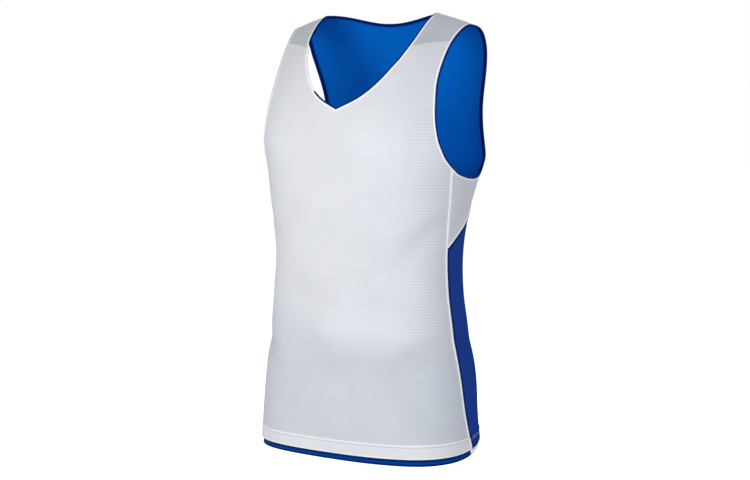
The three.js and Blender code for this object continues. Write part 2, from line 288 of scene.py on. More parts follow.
# Smaller creases on every side.
CREASES = (
    Fold(78, 300, 90, 14, -12, 1.4),
    Fold(96, 262, 60, 12, 16, 1.2),
    Fold(60, 255, 50, 10, -24, 1.5),
    Fold(132, 300, 44, 10, 22, 1.4),
    Fold(120, 105, 60, 14, -70, 1.6),
    Fold(70, 95, 60, 16, 74, 1.5),
    Fold(40, 120, 50, 14, 60, 1.3),
    Fold(150, 380, 40, 11, 35, 1.6),
    Fold(52, 410, 36, 10, 48, 1.5),
    Fold(-40, 205, 60, 20, -9, 3.5),
    Fold(-75, 240, 80, 16, 10, 2.2),
    Fold(-105, 275, 70, 15, -14, 2.0),
    Fold(222, 215, 50, 18, 12, 3.0),
    Fold(250, 180, 60, 14, -20, 1.6),
    Fold(-60, 120, 60, 15, 66, 1.8),
    Fold(245, 95, 55, 16, 72, 1.8),
    Fold(-50, 400, 44, 13, -38, 2.0),
    Fold(228, 395, 46, 13, 36, 2.0),
)


@dataclass(frozen=True)
class Drape:
    """How the cloth hangs on the figure: its hem's rise, its large folds and its creases."""

    figure: Figure = field(default_factory=Figure)
    folds: tuple[Fold, ...] = LARGE_FOLDS + CREASES
    fold_radius: float = 150
    hem_rise: Curve = Curve(
        (
            (-90, 18), (-50, 25), (-22, 27), (0, 10.5), (25, 4), (55, 6), (90, 9), (125, 11),
            (180, 11), (270, 18),
        )
    )
    rise_top: float = 160
    turn_step: float = 0.5
    row_step: float = 1

    def outward(self, surface: Callable, angle: np.ndarray, row: np.ndarray) -> np.ndarray:
        """Outward direction of a surface, from its own points on either side.

        Args:
            surface: A function of angles and rows that gives points.
            angle: Angles round the figure.
            row: Rows.

        Returns:
            Unit vectors along the last axis.
        """
        turned = surface(angle + self.turn_step, row) - surface(angle - self.turn_step, row)
        raised = surface(angle, row + self.row_step) - surface(angle, row - self.row_step)
        return unit(np.cross(raised, turned))

    def depth(self, seen: np.ndarray, z: np.ndarray) -> np.ndarray:
        """How deep the folds press the cloth in.

        Args:
            seen: Angles round the whole figure, with the wearer's right over 90.
            z: Heights.

        Returns:
            Depths in millimetres.
        """
        total = np.zeros(np.broadcast(seen, z).shape)
        for fold in self.folds:
            tilt = math.radians(fold.tilt)
            around = np.radians((seen - fold.angle + 180) % 360 - 180) * self.fold_radius
            up = z - fold.z
            along = (around * math.cos(tilt) + up * math.sin(tilt)) / fold.reach
            across = (up * math.cos(tilt) - around * math.sin(tilt)) / fold.width
            total = total + fold.depth * np.exp(-(along**2) - across**2)
        return total

    def middle(self, angle: np.ndarray, row: np.ndarray, hand: Hand) -> np.ndarray:
        """The cloth between the two layers, before its x is mirrored to the right.

        Args:
            angle: Angles round the figure.
            row: Rows.
            hand: The side of the wearer.

        Returns:
            Points along the last axis.
        """
        angle, row = np.broadcast_arrays(np.asarray(angle, float), np.asarray(row, float))
        place = self.figure.surface(angle, row)
        seen = angle if hand is Hand.LEFT else 180 - angle
        depth = np.where(row > self.figure.ridge, 0, self.depth(seen, place[..., 2]))
        low = 1 - np.minimum(row, self.rise_top) / self.rise_top
        normal = self.outward(self.figure.surface, angle, row)
        place[..., 2] += self.hem_rise(seen) * low**2
        return place - normal * depth[..., None]

    def cloth(self, angle: np.ndarray, row: np.ndarray, hand: Hand) -> tuple[np.ndarray, np.ndarray]:
        """The cloth's middle and the way that it faces, on either side of the wearer.

        Args:
            angle: Angles round the figure.
            row: Rows.
            hand: The side of the wearer.

        Returns:
            Points and outward unit vectors.
        """
        angle, row = np.broadcast_arrays(np.asarray(angle, float), np.asarray(row, float))
        place = self.middle(angle, row, hand)
        normal = self.outward(lambda a, r: self.middle(a, r, hand), angle, row)
        mirror = np.array([hand.value, 1.0, 1.0])
        return place * mirror, normal * mirror

    def both_sides(self, angle: np.ndarray, row: np.ndarray) -> tuple[np.ndarray, np.ndarray]:
        """A line on the wearer's left, and back along its like on the right.

        Args:
            angle: Angles round the figure.
            row: Rows.

        Returns:
            Points and outward unit vectors.
        """
        left, right = (self.cloth(angle, row, hand) for hand in Hand)
        return tuple(np.concatenate((one, other[::-1][1:])) for one, other in zip(left, right))


@dataclass(frozen=True)
class Cut:
    """The outlines of the pieces, as distances from the middle or angles at a row."""

    drape: Drape = field(default_factory=Drape)
    v_point: float = 556
    front_neck: Curve = Curve(
        ((556, 0), (570, 32), (586, 53), (604, 67.5), (624, 78.5), (648, 89), (696, 100), (776, 105))
    )
    back_neck: float = 712
    back_neck_round: float = 2.2
    front_seam: Curve = Curve(((0, -1), (86, 5), (176, 7.5), (336, 9.5), (474, 13)))
    back_seam: Curve = Curve(((0, -30), (226, -28), (474, -28)))
    pit_front: float = 474
    pit_back: float = 474
    pit: Curve = Curve(
        ((0, 474), (0.12, 464.5), (0.3, 458.5), (0.55, 455), (0.75, 457), (0.9, 464), (1, 474))
    )
    insert_join: Curve = Curve(((0, 346), (0.5, 386), (1, 427)))
    front_armhole: tuple[Row, ...] = (
        (481, 169), (490, 166.5), (500, 164.6), (513, 162.3), (530, 159), (548, 156), (576, 153),
        (613, 150), (659, 150.5), (711, 153.5),
    )
    back_armhole: tuple[Row, ...] = (
        (488, 163), (502, 158.5), (520, 153), (540, 149.5), (560, 148.5), (576, 150.5), (595, 155),
        (621, 162), (645, 166), (700, 166),
    )
    shoulder_seam: float = 689
    seam_slant: float = 34
    arc_samples: int = 48

    @property
    def figure(self) -> Figure:
        """The figure under the cloth."""
        return self.drape.figure

    def armhole(self, facing: Facing) -> Curve:
        """The armhole's edge on the front or back, from its seam to the ridge.

        Args:
            facing: The side of the garment.

        Returns:
            Distance from the middle over the row.
        """
        front = facing is Facing.FRONT
        pit, seam = (self.pit_front, self.front_seam) if front else (self.pit_back, self.back_seam)
        foot, _ = self.figure.ring(seam(pit), np.float64(pit))
        rows = self.front_armhole if front else self.back_armhole
        return Curve(((pit, float(foot)), *rows, (self.figure.ridge, self.figure.tip_half)))

    def neck_x(self, row: np.ndarray, before: np.ndarray) -> np.ndarray:
        """How far from the middle the neck's edge is at a row up to the ridge.

        Args:
            row: Rows.
            before: Whether each is on the front.

        Returns:
            Distances, which are nothing below the neck.
        """
        front = np.where(row > self.v_point, self.front_neck(row), 0)
        down = np.clip((self.figure.ridge - row) / (self.figure.ridge - self.back_neck), 0, 1)
        back = self.figure.neck_half * (1 - down**self.back_neck_round) ** (1 / self.back_neck_round)
        return np.where(before, front, back)

    def edges(self, row: np.ndarray, facing: Facing) -> tuple[np.ndarray, np.ndarray]:
        """The angles of a front or back panel's edges: its middle or neck, and its side or armhole.

        Args:
            row: Rows, which past the ridge lie in front on the back panel.
            facing: The side of the garment.

        Returns:
            The near and the far angle at each row.
        """
        row = np.atleast_1d(np.asarray(row, float))
        over = row > self.figure.ridge
        level = np.where(over, 2 * self.figure.ridge - row, row)
        before = (np.full(row.shape, facing is Facing.FRONT)) | over
        near = self.figure.angle_at(self.neck_x(level, before), level, before)
        front_hole, back_hole = self.armhole(Facing.FRONT), self.armhole(Facing.BACK)
        hole_x = np.where(before, front_hole(level), back_hole(level))
        hole = self.figure.angle_at(hole_x, level, before)
        seam = np.where(before, self.front_seam(level), self.back_seam(level))
        pit = np.where(before, self.pit_front, self.pit_back)
        far = np.where(level > pit, hole, seam)
        sign = np.where(over, -1.0, 1.0)
        return near * sign, far * sign

    def divide(
        self, row: np.ndarray, near: np.ndarray, far: np.ndarray, shares: np.ndarray
    ) -> tuple[np.ndarray, np.ndarray]:
        """Angles that divide each row by length.

        Args:
            row: One row for each line.
            near: The angle where each line begins.
            far: The angle where each line ends.
            shares: Shares of the length, from 0 to 1.

        Returns:
            Angles and lengths from the near end, a line for each row.
        """
        steps = np.linspace(0, 1, self.arc_samples + 1)
        angles = near[:, None] + (far - near)[:, None] * steps
        points = self.figure.surface(angles, row[:, None])
        gaps = np.linalg.norm(np.diff(points, axis=1), axis=-1)
        lengths = np.concatenate((np.zeros((len(row), 1)), np.cumsum(gaps, axis=1)), axis=1)
        wanted = lengths[:, -1:] * shares
        found = [np.interp(w, length, angle) for w, length, angle in zip(wanted, lengths, angles)]
        return np.array(found), wanted

    def neck_edge(self, samples: int) -> tuple[np.ndarray, np.ndarray]:
        """The neck's edge on the wearer's left, from the V over the ridge to the middle of the back.

        Args:
            samples: Points on each side of the ridge.

        Returns:
            Angles and rows.
        """
        turn = np.linspace(0, math.pi / 2, samples)
        front = self.v_point + (self.figure.ridge - self.v_point) * (1 - np.cos(turn))
        back = self.back_neck + (self.figure.ridge - self.back_neck) * (1 - np.cos(turn))[::-1]
        near_front, _ = self.edges(front, Facing.FRONT)
        near_back, _ = self.edges(np.maximum(back, self.back_neck + 0.001), Facing.BACK)
        near_back[-1] = -90
        return np.concatenate((near_front, near_back[1:])), np.concatenate((front, back[1:]))

    def armhole_edge(self, samples: int) -> tuple[np.ndarray, np.ndarray]:
        """The whole edge of the armhole on the wearer's left, from the front seam's top round to it again.

        Args:
            samples: Points on each of its three stretches.

        Returns:
            Angles and rows of a closed loop, its last point the first again.
        """
        front = np.linspace(self.pit_front, self.figure.ridge, samples)
        back = np.linspace(self.figure.ridge, self.pit_back, samples)
        _, far_front = self.edges(front, Facing.FRONT)
        _, far_back = self.edges(back, Facing.BACK)
        across = np.linspace(1, 0, samples // 2)
        under_row = self.pit(across)
        under = self.front_seam(under_row) + (self.back_seam(under_row) - self.front_seam(under_row)) * across
        return (
            np.concatenate((far_front, far_back[1:], under[1:])),
            np.concatenate((front, back[1:], under_row[1:])),
        )


@dataclass(frozen=True)
class Layer:
    """One of the two layers of knit, with its good side out or in.

    Each cut is a flat piece's width and length in metres, and its area in square metres.
    """

    name: str
    side: int
    hem: float
    main_slot: str
    insert_slot: str
    front_cut: tuple[Row, float]
    back_cut: tuple[Row, float]
    lower_cut: tuple[Row, float]
    upper_cut: tuple[Row, float] = ((0.128, 0.135), 0.0087)
    wall: float = 1.2
    gap: float = 0.5
    hem_depth: float = 23
    hem_fold: float = 0.7

    @property
    def good_side(self) -> float:
        """How far the layer's good side stands off the cloth's middle."""
        return self.side * (self.gap / 2 + self.wall)


OUTER = Layer(
    name="outer",
    side=1,
    hem=12,
    main_slot="white_knit",
    insert_slot="blue_insert_knit",
    front_cut=((0.515, 0.71), 0.252),
    back_cut=((0.346, 0.927), 0.230),
    lower_cut=((0.118, 0.411), 0.0392),
)
LINING = Layer(
    name="lining",
    side=-1,
    hem=0,
    main_slot="blue_knit",
    insert_slot="white_insert_knit",
    front_cut=((0.523, 0.721), 0.254),
    back_cut=((0.346, 0.937), 0.230),
    lower_cut=((0.118, 0.422), 0.0396),
)


def deselect() -> None:
    """Leaves nothing selected, as every operator here expects."""
    if bpy.context.object and bpy.context.object.mode != "OBJECT":
        bpy.ops.object.mode_set(mode="OBJECT")
    bpy.ops.object.select_all(action="DESELECT")


def pick(piece: bpy.types.Object) -> None:
    """Selects one piece alone and makes it active.

    Args:
        piece: The piece.
    """
    deselect()
    piece.select_set(True)
    bpy.context.view_layer.objects.active = piece


def apply_modifier(piece: bpy.types.Object, kind: str, **settings: float | str | bool) -> None:
    """Adds a modifier to a piece and applies it.

    Args:
        piece: The piece.
        kind: The modifier's type.
        settings: Its settings by name.
    """
    pick(piece)
    modifier = piece.modifiers.new(kind.title(), kind)
    for name, value in settings.items():
        setattr(modifier, name, value)
    bpy.ops.object.modifier_apply(modifier=modifier.name)


def lengths_along(path: np.ndarray) -> np.ndarray:
    """How far along a path each of its points is."""
    return np.concatenate(([0], np.cumsum(np.linalg.norm(np.diff(path, axis=0), axis=-1))))


def way_along(path: np.ndarray, closed: bool) -> np.ndarray:
    """The way that a path runs at each point.

    Args:
        path: Points in millimetres.
        closed: Whether the path ends in its first point.

    Returns:
        Vectors of any length.
    """
    way = np.gradient(path, axis=0)
    if closed:
        way[0] = way[-1] = path[1] - path[-2]
    return way


class Tailor:
    """Lays grids of cloth on worked out places and sews them together."""

    def __init__(self, origin: np.ndarray) -> None:
        """Keeps the part's origin, in the cut's millimetres."""
        self.origin = origin

    def metres(self, places: np.ndarray) -> np.ndarray:
        """Places of the cut in the frame's metres."""
        return (places - self.origin) * MM

    def lay(
        self, name: str, places: np.ndarray, uv: np.ndarray, marks: dict[str, np.ndarray], facing: np.ndarray
    ) -> bpy.types.Object:
        """Lays one grid, with its faces turned to the side that is given.

        Args:
            name: The piece's name.
            places: Points of each row and column, in millimetres.
            uv: Lengths across and along the cloth at each, in millimetres.
            marks: Values to keep at each point, by name.
            facing: The way that the middle of the grid has to face.

        Returns:
            The new piece.
        """
        rows, columns = places.shape[:2]
        i, j = rows // 2, columns // 2
        across = places[i, min(j + 1, columns - 1)] - places[i, j - 1]
        along = places[min(i + 1, rows - 1), j] - places[i - 1, j]
        if np.dot(np.cross(across, along), facing) < 0:
            places, uv = places[:, ::-1], uv[:, ::-1]
            marks = {key: value[:, ::-1] for key, value in marks.items()}
        deselect()
        bpy.ops.mesh.primitive_grid_add(x_subdivisions=columns - 1, y_subdivisions=rows - 1, size=2)
        piece = bpy.context.object
        piece.name = piece.data.name = name
        mesh = piece.data
        flat = np.empty(len(mesh.vertices) * 3)
        mesh.vertices.foreach_get("co", flat)
        flat = flat.reshape(-1, 3)
        column_of = np.rint((flat[:, 0] + 1) / 2 * (columns - 1)).astype(int)
        row_of = np.rint((flat[:, 1] + 1) / 2 * (rows - 1)).astype(int)
        mesh.vertices.foreach_set("co", self.metres(places[row_of, column_of]).ravel())
        corner = np.empty(len(mesh.loops), int)
        mesh.loops.foreach_get("vertex_index", corner)
        lengths = uv[row_of, column_of][corner] * MM
        mesh.uv_layers.active.data.foreach_set("uv", lengths.ravel())
        for key, value in marks.items():
            mark = mesh.attributes.new(key, "FLOAT", "POINT")
            mark.data.foreach_set("value", value[row_of, column_of].astype(np.float32))
        mesh.update()
        return piece

    def sew(self, name: str, parts: Sequence[bpy.types.Object], near: float = 0.02) -> bpy.types.Object:
        """Joins pieces into one and merges the points that they share.

        Args:
            name: The joined piece's name.
            parts: The pieces.
            near: How close two points are that become one, in millimetres.

        Returns:
            The joined piece.
        """
        deselect()
        for part in parts:
            part.select_set(True)
        bpy.context.view_layer.objects.active = parts[0]
        if len(parts) > 1:
            bpy.ops.object.join()
        bpy.ops.object.mode_set(mode="EDIT")
        bpy.ops.mesh.select_all(action="SELECT")
        bpy.ops.mesh.remove_doubles(threshold=near * MM)
        bpy.ops.object.mode_set(mode="OBJECT")
        parts[0].name = parts[0].data.name = name
        return parts[0]

    def tube(
        self,
        name: str,
        path: np.ndarray,
        normals: np.ndarray,
        size: Row,
        thick: np.ndarray | None = None,
        sides: int = 8,
    ) -> bpy.types.Object:
        """Rolls a narrow grid round a path, as an edge's roll or a seam's welt.

        Args:
            name: The piece's name.
            path: Points in millimetres, a closed one ending in its first.
            normals: The way that the cloth faces at each.
            size: The half width along the cloth and the half height off it.
            thick: Shares of that size along a loop, or nothing for an open path.
            sides: Faces round the tube.

        Returns:
            The new piece, closed all over.
        """
        tangent = unit(way_along(path, closed=thick is not None))
        across = unit(np.cross(normals, tangent))
        off = np.cross(tangent, across)
        turn = np.linspace(0, 2 * math.pi, sides + 1)
        if thick is None:
            thick = np.ones(len(path))
            thick[0] = thick[-1] = 0
        ring = (
            np.cos(turn)[None, :, None] * across[:, None] * size[0]
            + np.sin(turn)[None, :, None] * off[:, None] * size[1]
        )
        places = path[:, None] + ring * thick[:, None, None]
        uv = np.stack(np.broadcast_arrays(turn[None] * size[0], lengths_along(path)[:, None]), axis=-1)
        i, j = len(path) // 2, sides // 2
        piece = self.lay(name, places, uv, {}, places[i, j] - path[i])
        return self.sew(name, [piece], near=0.002)


def resample(path: np.ndarray, others: Sequence[np.ndarray], step: float) -> list[np.ndarray]:
    """Points at even distances along a path.

    Args:
        path: Points in millimetres.
        others: Values at each point that are read along with it.
        step: The distance wanted.

    Returns:
        The even points, then the other values there.
    """
    length = lengths_along(path)
    count = max(int(round(length[-1] / step)), 2)
    wanted = np.linspace(0, length[-1], count + 1)
    return [
        np.stack([np.interp(wanted, length, value[:, k]) for k in range(value.shape[1])], axis=-1)
        for value in (path, *others)
    ]


class Nodes:
    """Shorthand for building a node tree."""

    def __init__(self, tree: bpy.types.NodeTree) -> None:
        """Keeps the tree and empties it."""
        self.tree = tree
        tree.nodes.clear()

    def add(self, kind: str, inputs: dict | None = None, **settings: object) -> bpy.types.Node:
        """Adds a node.

        Args:
            kind: The node's type without its Shader prefix.
            inputs: What each socket gets: a value, or another node's output.
            settings: The node's own settings.

        Returns:
            The node.
        """
        prefix = "" if kind.startswith(("NodeGroup", "Node")) else "ShaderNode"
        node = self.tree.nodes.new(prefix + kind)
        for name, value in settings.items():
            setattr(node, name, value)
        for key, value in (inputs or {}).items():
            if isinstance(value, bpy.types.NodeSocket):
                self.tree.links.new(value, node.inputs[key])
            else:
                node.inputs[key].default_value = value
        return node

    def math(self, operation: str, *values: object) -> bpy.types.NodeSocket:
        """The result of a Math node on numbers or outputs."""
        return self.add("Math", dict(enumerate(values)), operation=operation).outputs[0]

    def ramp(self, value: object, low: float, high: float, start: float, end: float) -> bpy.types.NodeSocket:
        """A soft step of a value: start at low, end at high."""
        limits = {"Value": value, "From Min": low, "From Max": high, "To Min": start, "To Max": end}
        return self.add("MapRange", limits, interpolation_type="SMOOTHSTEP").outputs["Result"]

    def mix(self, factor: object, one: object, two: object, blend: str = "MIX") -> bpy.types.NodeSocket:
        """A colour between two, or blended from them."""
        node = self.add("Mix", {0: factor, 6: one, 7: two}, data_type="RGBA", blend_type=blend)
        return node.outputs[2]


Colour = tuple[float, float, float, float]


@dataclass(frozen=True)
class KnitRows:
    """The knit that every piece shares: level rows with a line of small eyelets in each groove."""

    name: str = "knit_rows"
    row_pitch: float = 4.45
    eyelet_pitch: float = 1.6
    eyelet_radius: float = 0.34
    eyelet_soft: float = 0.2
    eyelet_squash: float = 0.7
    eyelet_depth: float = 0.5
    groove_from: Row = (0.08, 0.3)
    groove_depth: float = 0.55
    stitch_pitch: float = 0.85
    stitch_height: float = 0.1
    waver: float = 1.6
    waver_scale: float = 0.03
    mottle_scale: float = 0.011

    def group(self) -> bpy.types.NodeTree:
        """Builds the node group once, or finds it.

        Returns:
            A group from lengths on the cloth to masks for the grooves and eyelets, a height and a mottle.
        """
        if self.name in bpy.data.node_groups:
            return bpy.data.node_groups[self.name]
        tree = bpy.data.node_groups.new(self.name, "ShaderNodeTree")
        nodes = Nodes(tree)
        tree.interface.new_socket("Cloth", in_out="INPUT", socket_type="NodeSocketVector")
        for name in ("Groove", "Eyelet", "Height", "Mottle"):
            tree.interface.new_socket(name, in_out="OUTPUT", socket_type="NodeSocketFloat")
        source = nodes.add("NodeGroupInput").outputs["Cloth"]
        lengths = nodes.add("VectorMath", {0: source, "Scale": 1000.0}, operation="SCALE").outputs[0]
        split = nodes.add("SeparateXYZ", {0: lengths})
        u, v = split.outputs["X"], split.outputs["Y"]
        drift = nodes.add("TexNoise", {"Vector": lengths, "Scale": self.waver_scale, "Detail": 2.0})
        off_line = nodes.math("SUBTRACT", drift.outputs["Fac"], 0.5)
        v = nodes.math("ADD", v, nodes.math("MULTIPLY", off_line, self.waver))
        rows = nodes.math("DIVIDE", v, self.row_pitch)
        off_row = nodes.math("SUBTRACT", nodes.math("FRACT", rows), 0.5)
        groove = nodes.ramp(nodes.math("ABSOLUTE", off_row), *self.groove_from, 1.0, 0.0)
        stagger = nodes.math("MULTIPLY", nodes.math("FLOOR", rows), 0.5)
        holes = nodes.math("FRACT", nodes.math("ADD", nodes.math("DIVIDE", u, self.eyelet_pitch), stagger))
        hole_x = nodes.math("MULTIPLY", nodes.math("SUBTRACT", holes, 0.5), self.eyelet_pitch)
        hole_y = nodes.math("MULTIPLY", off_row, self.row_pitch * self.eyelet_squash)
        squares = [nodes.math("MULTIPLY", side, side) for side in (hole_x, hole_y)]
        away = nodes.math("SQRT", nodes.math("ADD", *squares))
        eyelet = nodes.ramp(away, self.eyelet_radius, self.eyelet_radius + self.eyelet_soft, 1.0, 0.0)
        turn = 2 * math.pi / self.stitch_pitch
        wale = nodes.math("SINE", nodes.math("MULTIPLY", u, turn))
        course = nodes.math("SINE", nodes.math("MULTIPLY", v, turn))
        loops = nodes.math("MULTIPLY", nodes.math("MULTIPLY", wale, course), self.stitch_height)
        body = nodes.math("SUBTRACT", loops, nodes.math("MULTIPLY", groove, self.groove_depth))
        height = nodes.math("SUBTRACT", body, nodes.math("MULTIPLY", eyelet, self.eyelet_depth))
        mottle = nodes.add("TexNoise", {"Vector": lengths, "Scale": self.mottle_scale, "Detail": 3.0})
        outputs = {"Groove": groove, "Eyelet": eyelet, "Height": height, "Mottle": mottle.outputs["Fac"]}
        nodes.add("NodeGroupOutput", outputs)
        return tree


@dataclass(frozen=True)
class Finish:
    """A finish, whose kinds say what their shader gets."""

    name: str

    def sockets(self, nodes: Nodes) -> dict[str, object]:
        """What each of the shader's own inputs gets."""
        raise NotImplementedError

    def material(self) -> bpy.types.Material:
        """Builds the material, or finds it.

        Returns:
            The finish's one material.
        """
        if self.name in bpy.data.materials:
            return bpy.data.materials[self.name]
        material = bpy.data.materials.new(self.name)
        material.use_nodes = True
        nodes = Nodes(material.node_tree)
        shader = nodes.add("BsdfPrincipled", self.sockets(nodes))
        nodes.add("OutputMaterial", {"Surface": shader.outputs[0]})
        return material


@dataclass(frozen=True)
class KnitFinish(Finish):
    """The finish of one knit: its colour, single and doubled at hems and seams, and how light plays on it."""

    single: Colour
    double: Colour
    behind: Colour
    edge: Colour
    painted_shade_tint: Colour = (1, 1, 1, 1)
    edge_width: float = 2.2
    edge_core: float = 0.35
    edge_flatness: float = 0.8
    mottle_from: Row = (0.3, 0.7)
    mottle_shade: Row = (0.97, 1.02)
    groove_shade: float = 0.96
    taut: float = 0.15
    show_through: float = 0.3
    roughness: float = 0.62
    sheen: float = 0.12
    sheen_roughness: float = 0.45
    gloss: float = 0.3
    bump: float = 0.15
    bump_height: float = 0.0006

    def mark(self, nodes: Nodes, name: str) -> bpy.types.NodeSocket:
        """One of the marks that the piece keeps at each point."""
        return nodes.add("Attribute", attribute_name=name).outputs["Fac"]

    def sockets(self, nodes: Nodes) -> dict[str, object]:
        """Builds the knit from the piece's UV map and its marks.

        Args:
            nodes: The material's nodes.

        Returns:
            What each of the shader's own inputs gets.
        """
        cloth = nodes.add("UVMap").outputs[0]
        knit = nodes.add("Group", node_tree=KnitRows().group())
        nodes.tree.links.new(cloth, knit.inputs["Cloth"])
        marks = ("double", "edge", "slack", "shade", "cool")
        double, edge, loosened, shown, cool = (self.mark(nodes, name) for name in marks)
        slack = nodes.ramp(loosened, 0.0, 1.0, self.taut, 1.0)
        # The doubled colour also comes in full on the hem's ridge and bottom fold, on the white layer a
        # painted highlight.
        plain = nodes.mix(double, self.single, self.double)
        loose = nodes.math("MULTIPLY", knit.outputs["Groove"], slack)
        # The shade mark multiplies in painted light and shade (highlights and shadows at the hem, darker
        # folds, yoke and lower body, the lining's shadow under the hem and its lit armhole, the insert's
        # sheen) and the navy beside the insert's seams. The knit's grooves are darkened as painted shade too,
        # most where the cloth is slack.
        shade = nodes.math("MULTIPLY", shown, nodes.ramp(loose, 0.0, 1.0, 1.0, self.groove_shade))
        mottle = nodes.ramp(knit.outputs["Mottle"], *self.mottle_from, *self.mottle_shade)
        mottled = nodes.math("MULTIPLY", shade, mottle)
        grey = nodes.add("CombineColor", {0: mottled, 1: mottled, 2: mottled}).outputs[0]
        # Painted cool shade: the lower body and the yoke are tinted bluer, as shade tints them.
        tinted = nodes.mix(1.0, plain, nodes.mix(cool, (1, 1, 1, 1), self.painted_shade_tint), "MULTIPLY")
        lined = nodes.mix(1.0, tinted, grey, "MULTIPLY")
        open_eyelet = nodes.math("MULTIPLY", knit.outputs["Eyelet"], slack)
        seen = nodes.math("MULTIPLY", open_eyelet, nodes.math("SUBTRACT", 1.0, double))
        eyed = nodes.mix(nodes.math("MULTIPLY", seen, self.show_through), lined, self.behind)
        rim = nodes.ramp(edge, self.edge_width * self.edge_core, self.edge_width, 1.0, 0.0)
        colour = nodes.mix(rim, eyed, self.edge)
        flatness = nodes.math("SUBTRACT", 1.0, nodes.math("MULTIPLY", rim, self.edge_flatness))
        height = nodes.math("MULTIPLY", nodes.math("MULTIPLY", knit.outputs["Height"], slack), flatness)
        relief = {"Strength": self.bump, "Distance": self.bump_height, "Height": height}
        return {
            "Base Color": colour,
            "Roughness": self.roughness,
            "Sheen Weight": self.sheen,
            "Sheen Roughness": self.sheen_roughness,
            "Specular IOR Level": self.gloss,
            "Normal": nodes.add("Bump", relief).outputs["Normal"],
        }


@dataclass(frozen=True)
class ThreadFinish(Finish):
    """The finish of sewing thread and rolled edges: a plain colour with a fine twist across it."""

    colour: Colour
    shade: Colour
    sheen: float = 0.15
    gloss: float = 0.3
    scale: float = 900
    roughness: float = 0.55
    twist_from: Row = (0.3, 0.7)
    bump: float = 0.3
    bump_height: float = 0.0003

    def sockets(self, nodes: Nodes) -> dict[str, object]:
        """Builds the thread on Object coordinates.

        Args:
            nodes: The material's nodes.

        Returns:
            What each of the shader's own inputs gets.
        """
        place = nodes.add("TexCoord").outputs["Object"]
        twist = nodes.add("TexNoise", {"Vector": place, "Scale": self.scale, "Detail": 2.0, "Roughness": 0.5})
        soft = nodes.ramp(twist.outputs["Fac"], *self.twist_from, 0.0, 1.0)
        colour = nodes.mix(soft, self.shade, self.colour)
        relief = {"Strength": self.bump, "Distance": self.bump_height, "Height": soft}
        return {
            "Base Color": colour,
            "Roughness": self.roughness,
            "Sheen Weight": self.sheen,
            "Specular IOR Level": self.gloss,
            "Normal": nodes.add("Bump", relief).outputs["Normal"],
        }


WHITE_KNIT = KnitFinish(
    name="white_mesh",
    single=(0.70, 0.715, 0.74, 1),
    double=(0.95, 0.95, 0.95, 1),
    behind=(0.25, 0.36, 0.62, 1),
    painted_shade_tint=(0.90, 0.925, 0.94, 1),
    edge=(0.88, 0.89, 0.91, 1),
)
BLUE_KNIT = KnitFinish(
    name="blue_mesh",
    single=(0.0, 0.145, 0.60, 1),
    double=(0.0, 0.062, 0.37, 1),
    behind=(0.03, 0.14, 0.55, 1),
    edge=(0.001, 0.014, 0.16, 1),
    edge_width=6.0,
    groove_shade=0.93,
    sheen=0.0,
    gloss=0.015,
    roughness=0.55,
)
BLUE_INSERT_KNIT = replace(
    BLUE_KNIT,
    name="blue_insert_mesh",
    single=(0.015, 0.056, 0.31, 1),
    double=(0.013, 0.050, 0.28, 1),
    behind=(0.03, 0.1, 0.4, 1),
    edge=(0.002, 0.014, 0.13, 1),
    edge_width=8.5,
    gloss=0.0,
    roughness=0.5,
)
WHITE_INSERT_KNIT = replace(WHITE_KNIT, name="white_insert_mesh")
WHITE_THREAD = ThreadFinish("white_thread", (0.985, 0.985, 0.985, 1), (0.95, 0.95, 0.955, 1))
BLUE_THREAD = ThreadFinish("blue_thread", (0.0, 0.016, 0.20, 1), (0.0, 0.009, 0.13, 1), sheen=0.0, gloss=0.05)
FINISHES = {
    "white_knit": WHITE_KNIT,
    "blue_knit": BLUE_KNIT,
    "blue_insert_knit": BLUE_INSERT_KNIT,
    "white_insert_knit": WHITE_INSERT_KNIT,
}


def dress(piece: bpy.types.Object, finish: Finish) -> None:
    """Gives a piece its finish and the body it rides on, and shades it smooth.

    Args:
        piece: The finished mesh.
        finish: Its finish.
    """
    piece.data.materials.clear()
    piece.data.materials.append(finish.material())
    pick(piece)
    bpy.ops.object.shade_smooth_by_angle(angle=math.radians(SMOOTH_ANGLE))
    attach(piece, BODY)
    log.info("%s: %d vertices", piece.name, len(piece.data.vertices))


class Edges:
    """Finds how far a place on the cloth is from the nearest edge or seam."""

    def __init__(self, cut: Cut, step: float = 1.0) -> None:
        """Samples the rolled edges and the seams of both sides.

        Args:
            cut: The outlines.
            step: The distance between samples, in millimetres.
        """
        self.cut = cut
        rolled, seams = [], []
        for hand in Hand:
            for angle, row in (cut.neck_edge(90), cut.armhole_edge(90)):
                rolled.append(resample(cut.drape.cloth(angle, row, hand)[0], [], step)[0])
            for angle, row in self.seam_lines():
                seams.append(resample(cut.drape.cloth(angle, row, hand)[0], [], step)[0])
        self.rolled = self.tree(np.concatenate(rolled))
        self.seams = self.tree(np.concatenate(seams))

    def seam_lines(self) -> list[tuple[np.ndarray, np.ndarray]]:
        """The side seams and the insert's join on the wearer's left.

        Returns:
            Angles and rows of each.
        """
        cut = self.cut
        front = np.linspace(0, cut.pit_front, 80)
        back = np.linspace(0, cut.pit_back, 80)
        return [(cut.front_seam(front), front), (cut.back_seam(back), back), join_line(cut)]

    @staticmethod
    def tree(points: np.ndarray) -> KDTree:
        """Makes points quick to search.

        Args:
            points: The points.

        Returns:
            Their search tree.
        """
        tree = KDTree(len(points))
        for i, point in enumerate(points):
            tree.insert(Vector(point), i)
        tree.balance()
        return tree

    @staticmethod
    def distance(tree: KDTree, places: np.ndarray) -> np.ndarray:
        """How far each place is from the nearest point of a tree.

        Args:
            tree: The search tree.
            places: Places of the cut.

        Returns:
            Distances in millimetres.
        """
        flat = places.reshape(-1, 3)
        found = np.array([tree.find(Vector(place))[2] for place in flat])
        return found.reshape(places.shape[:-1])


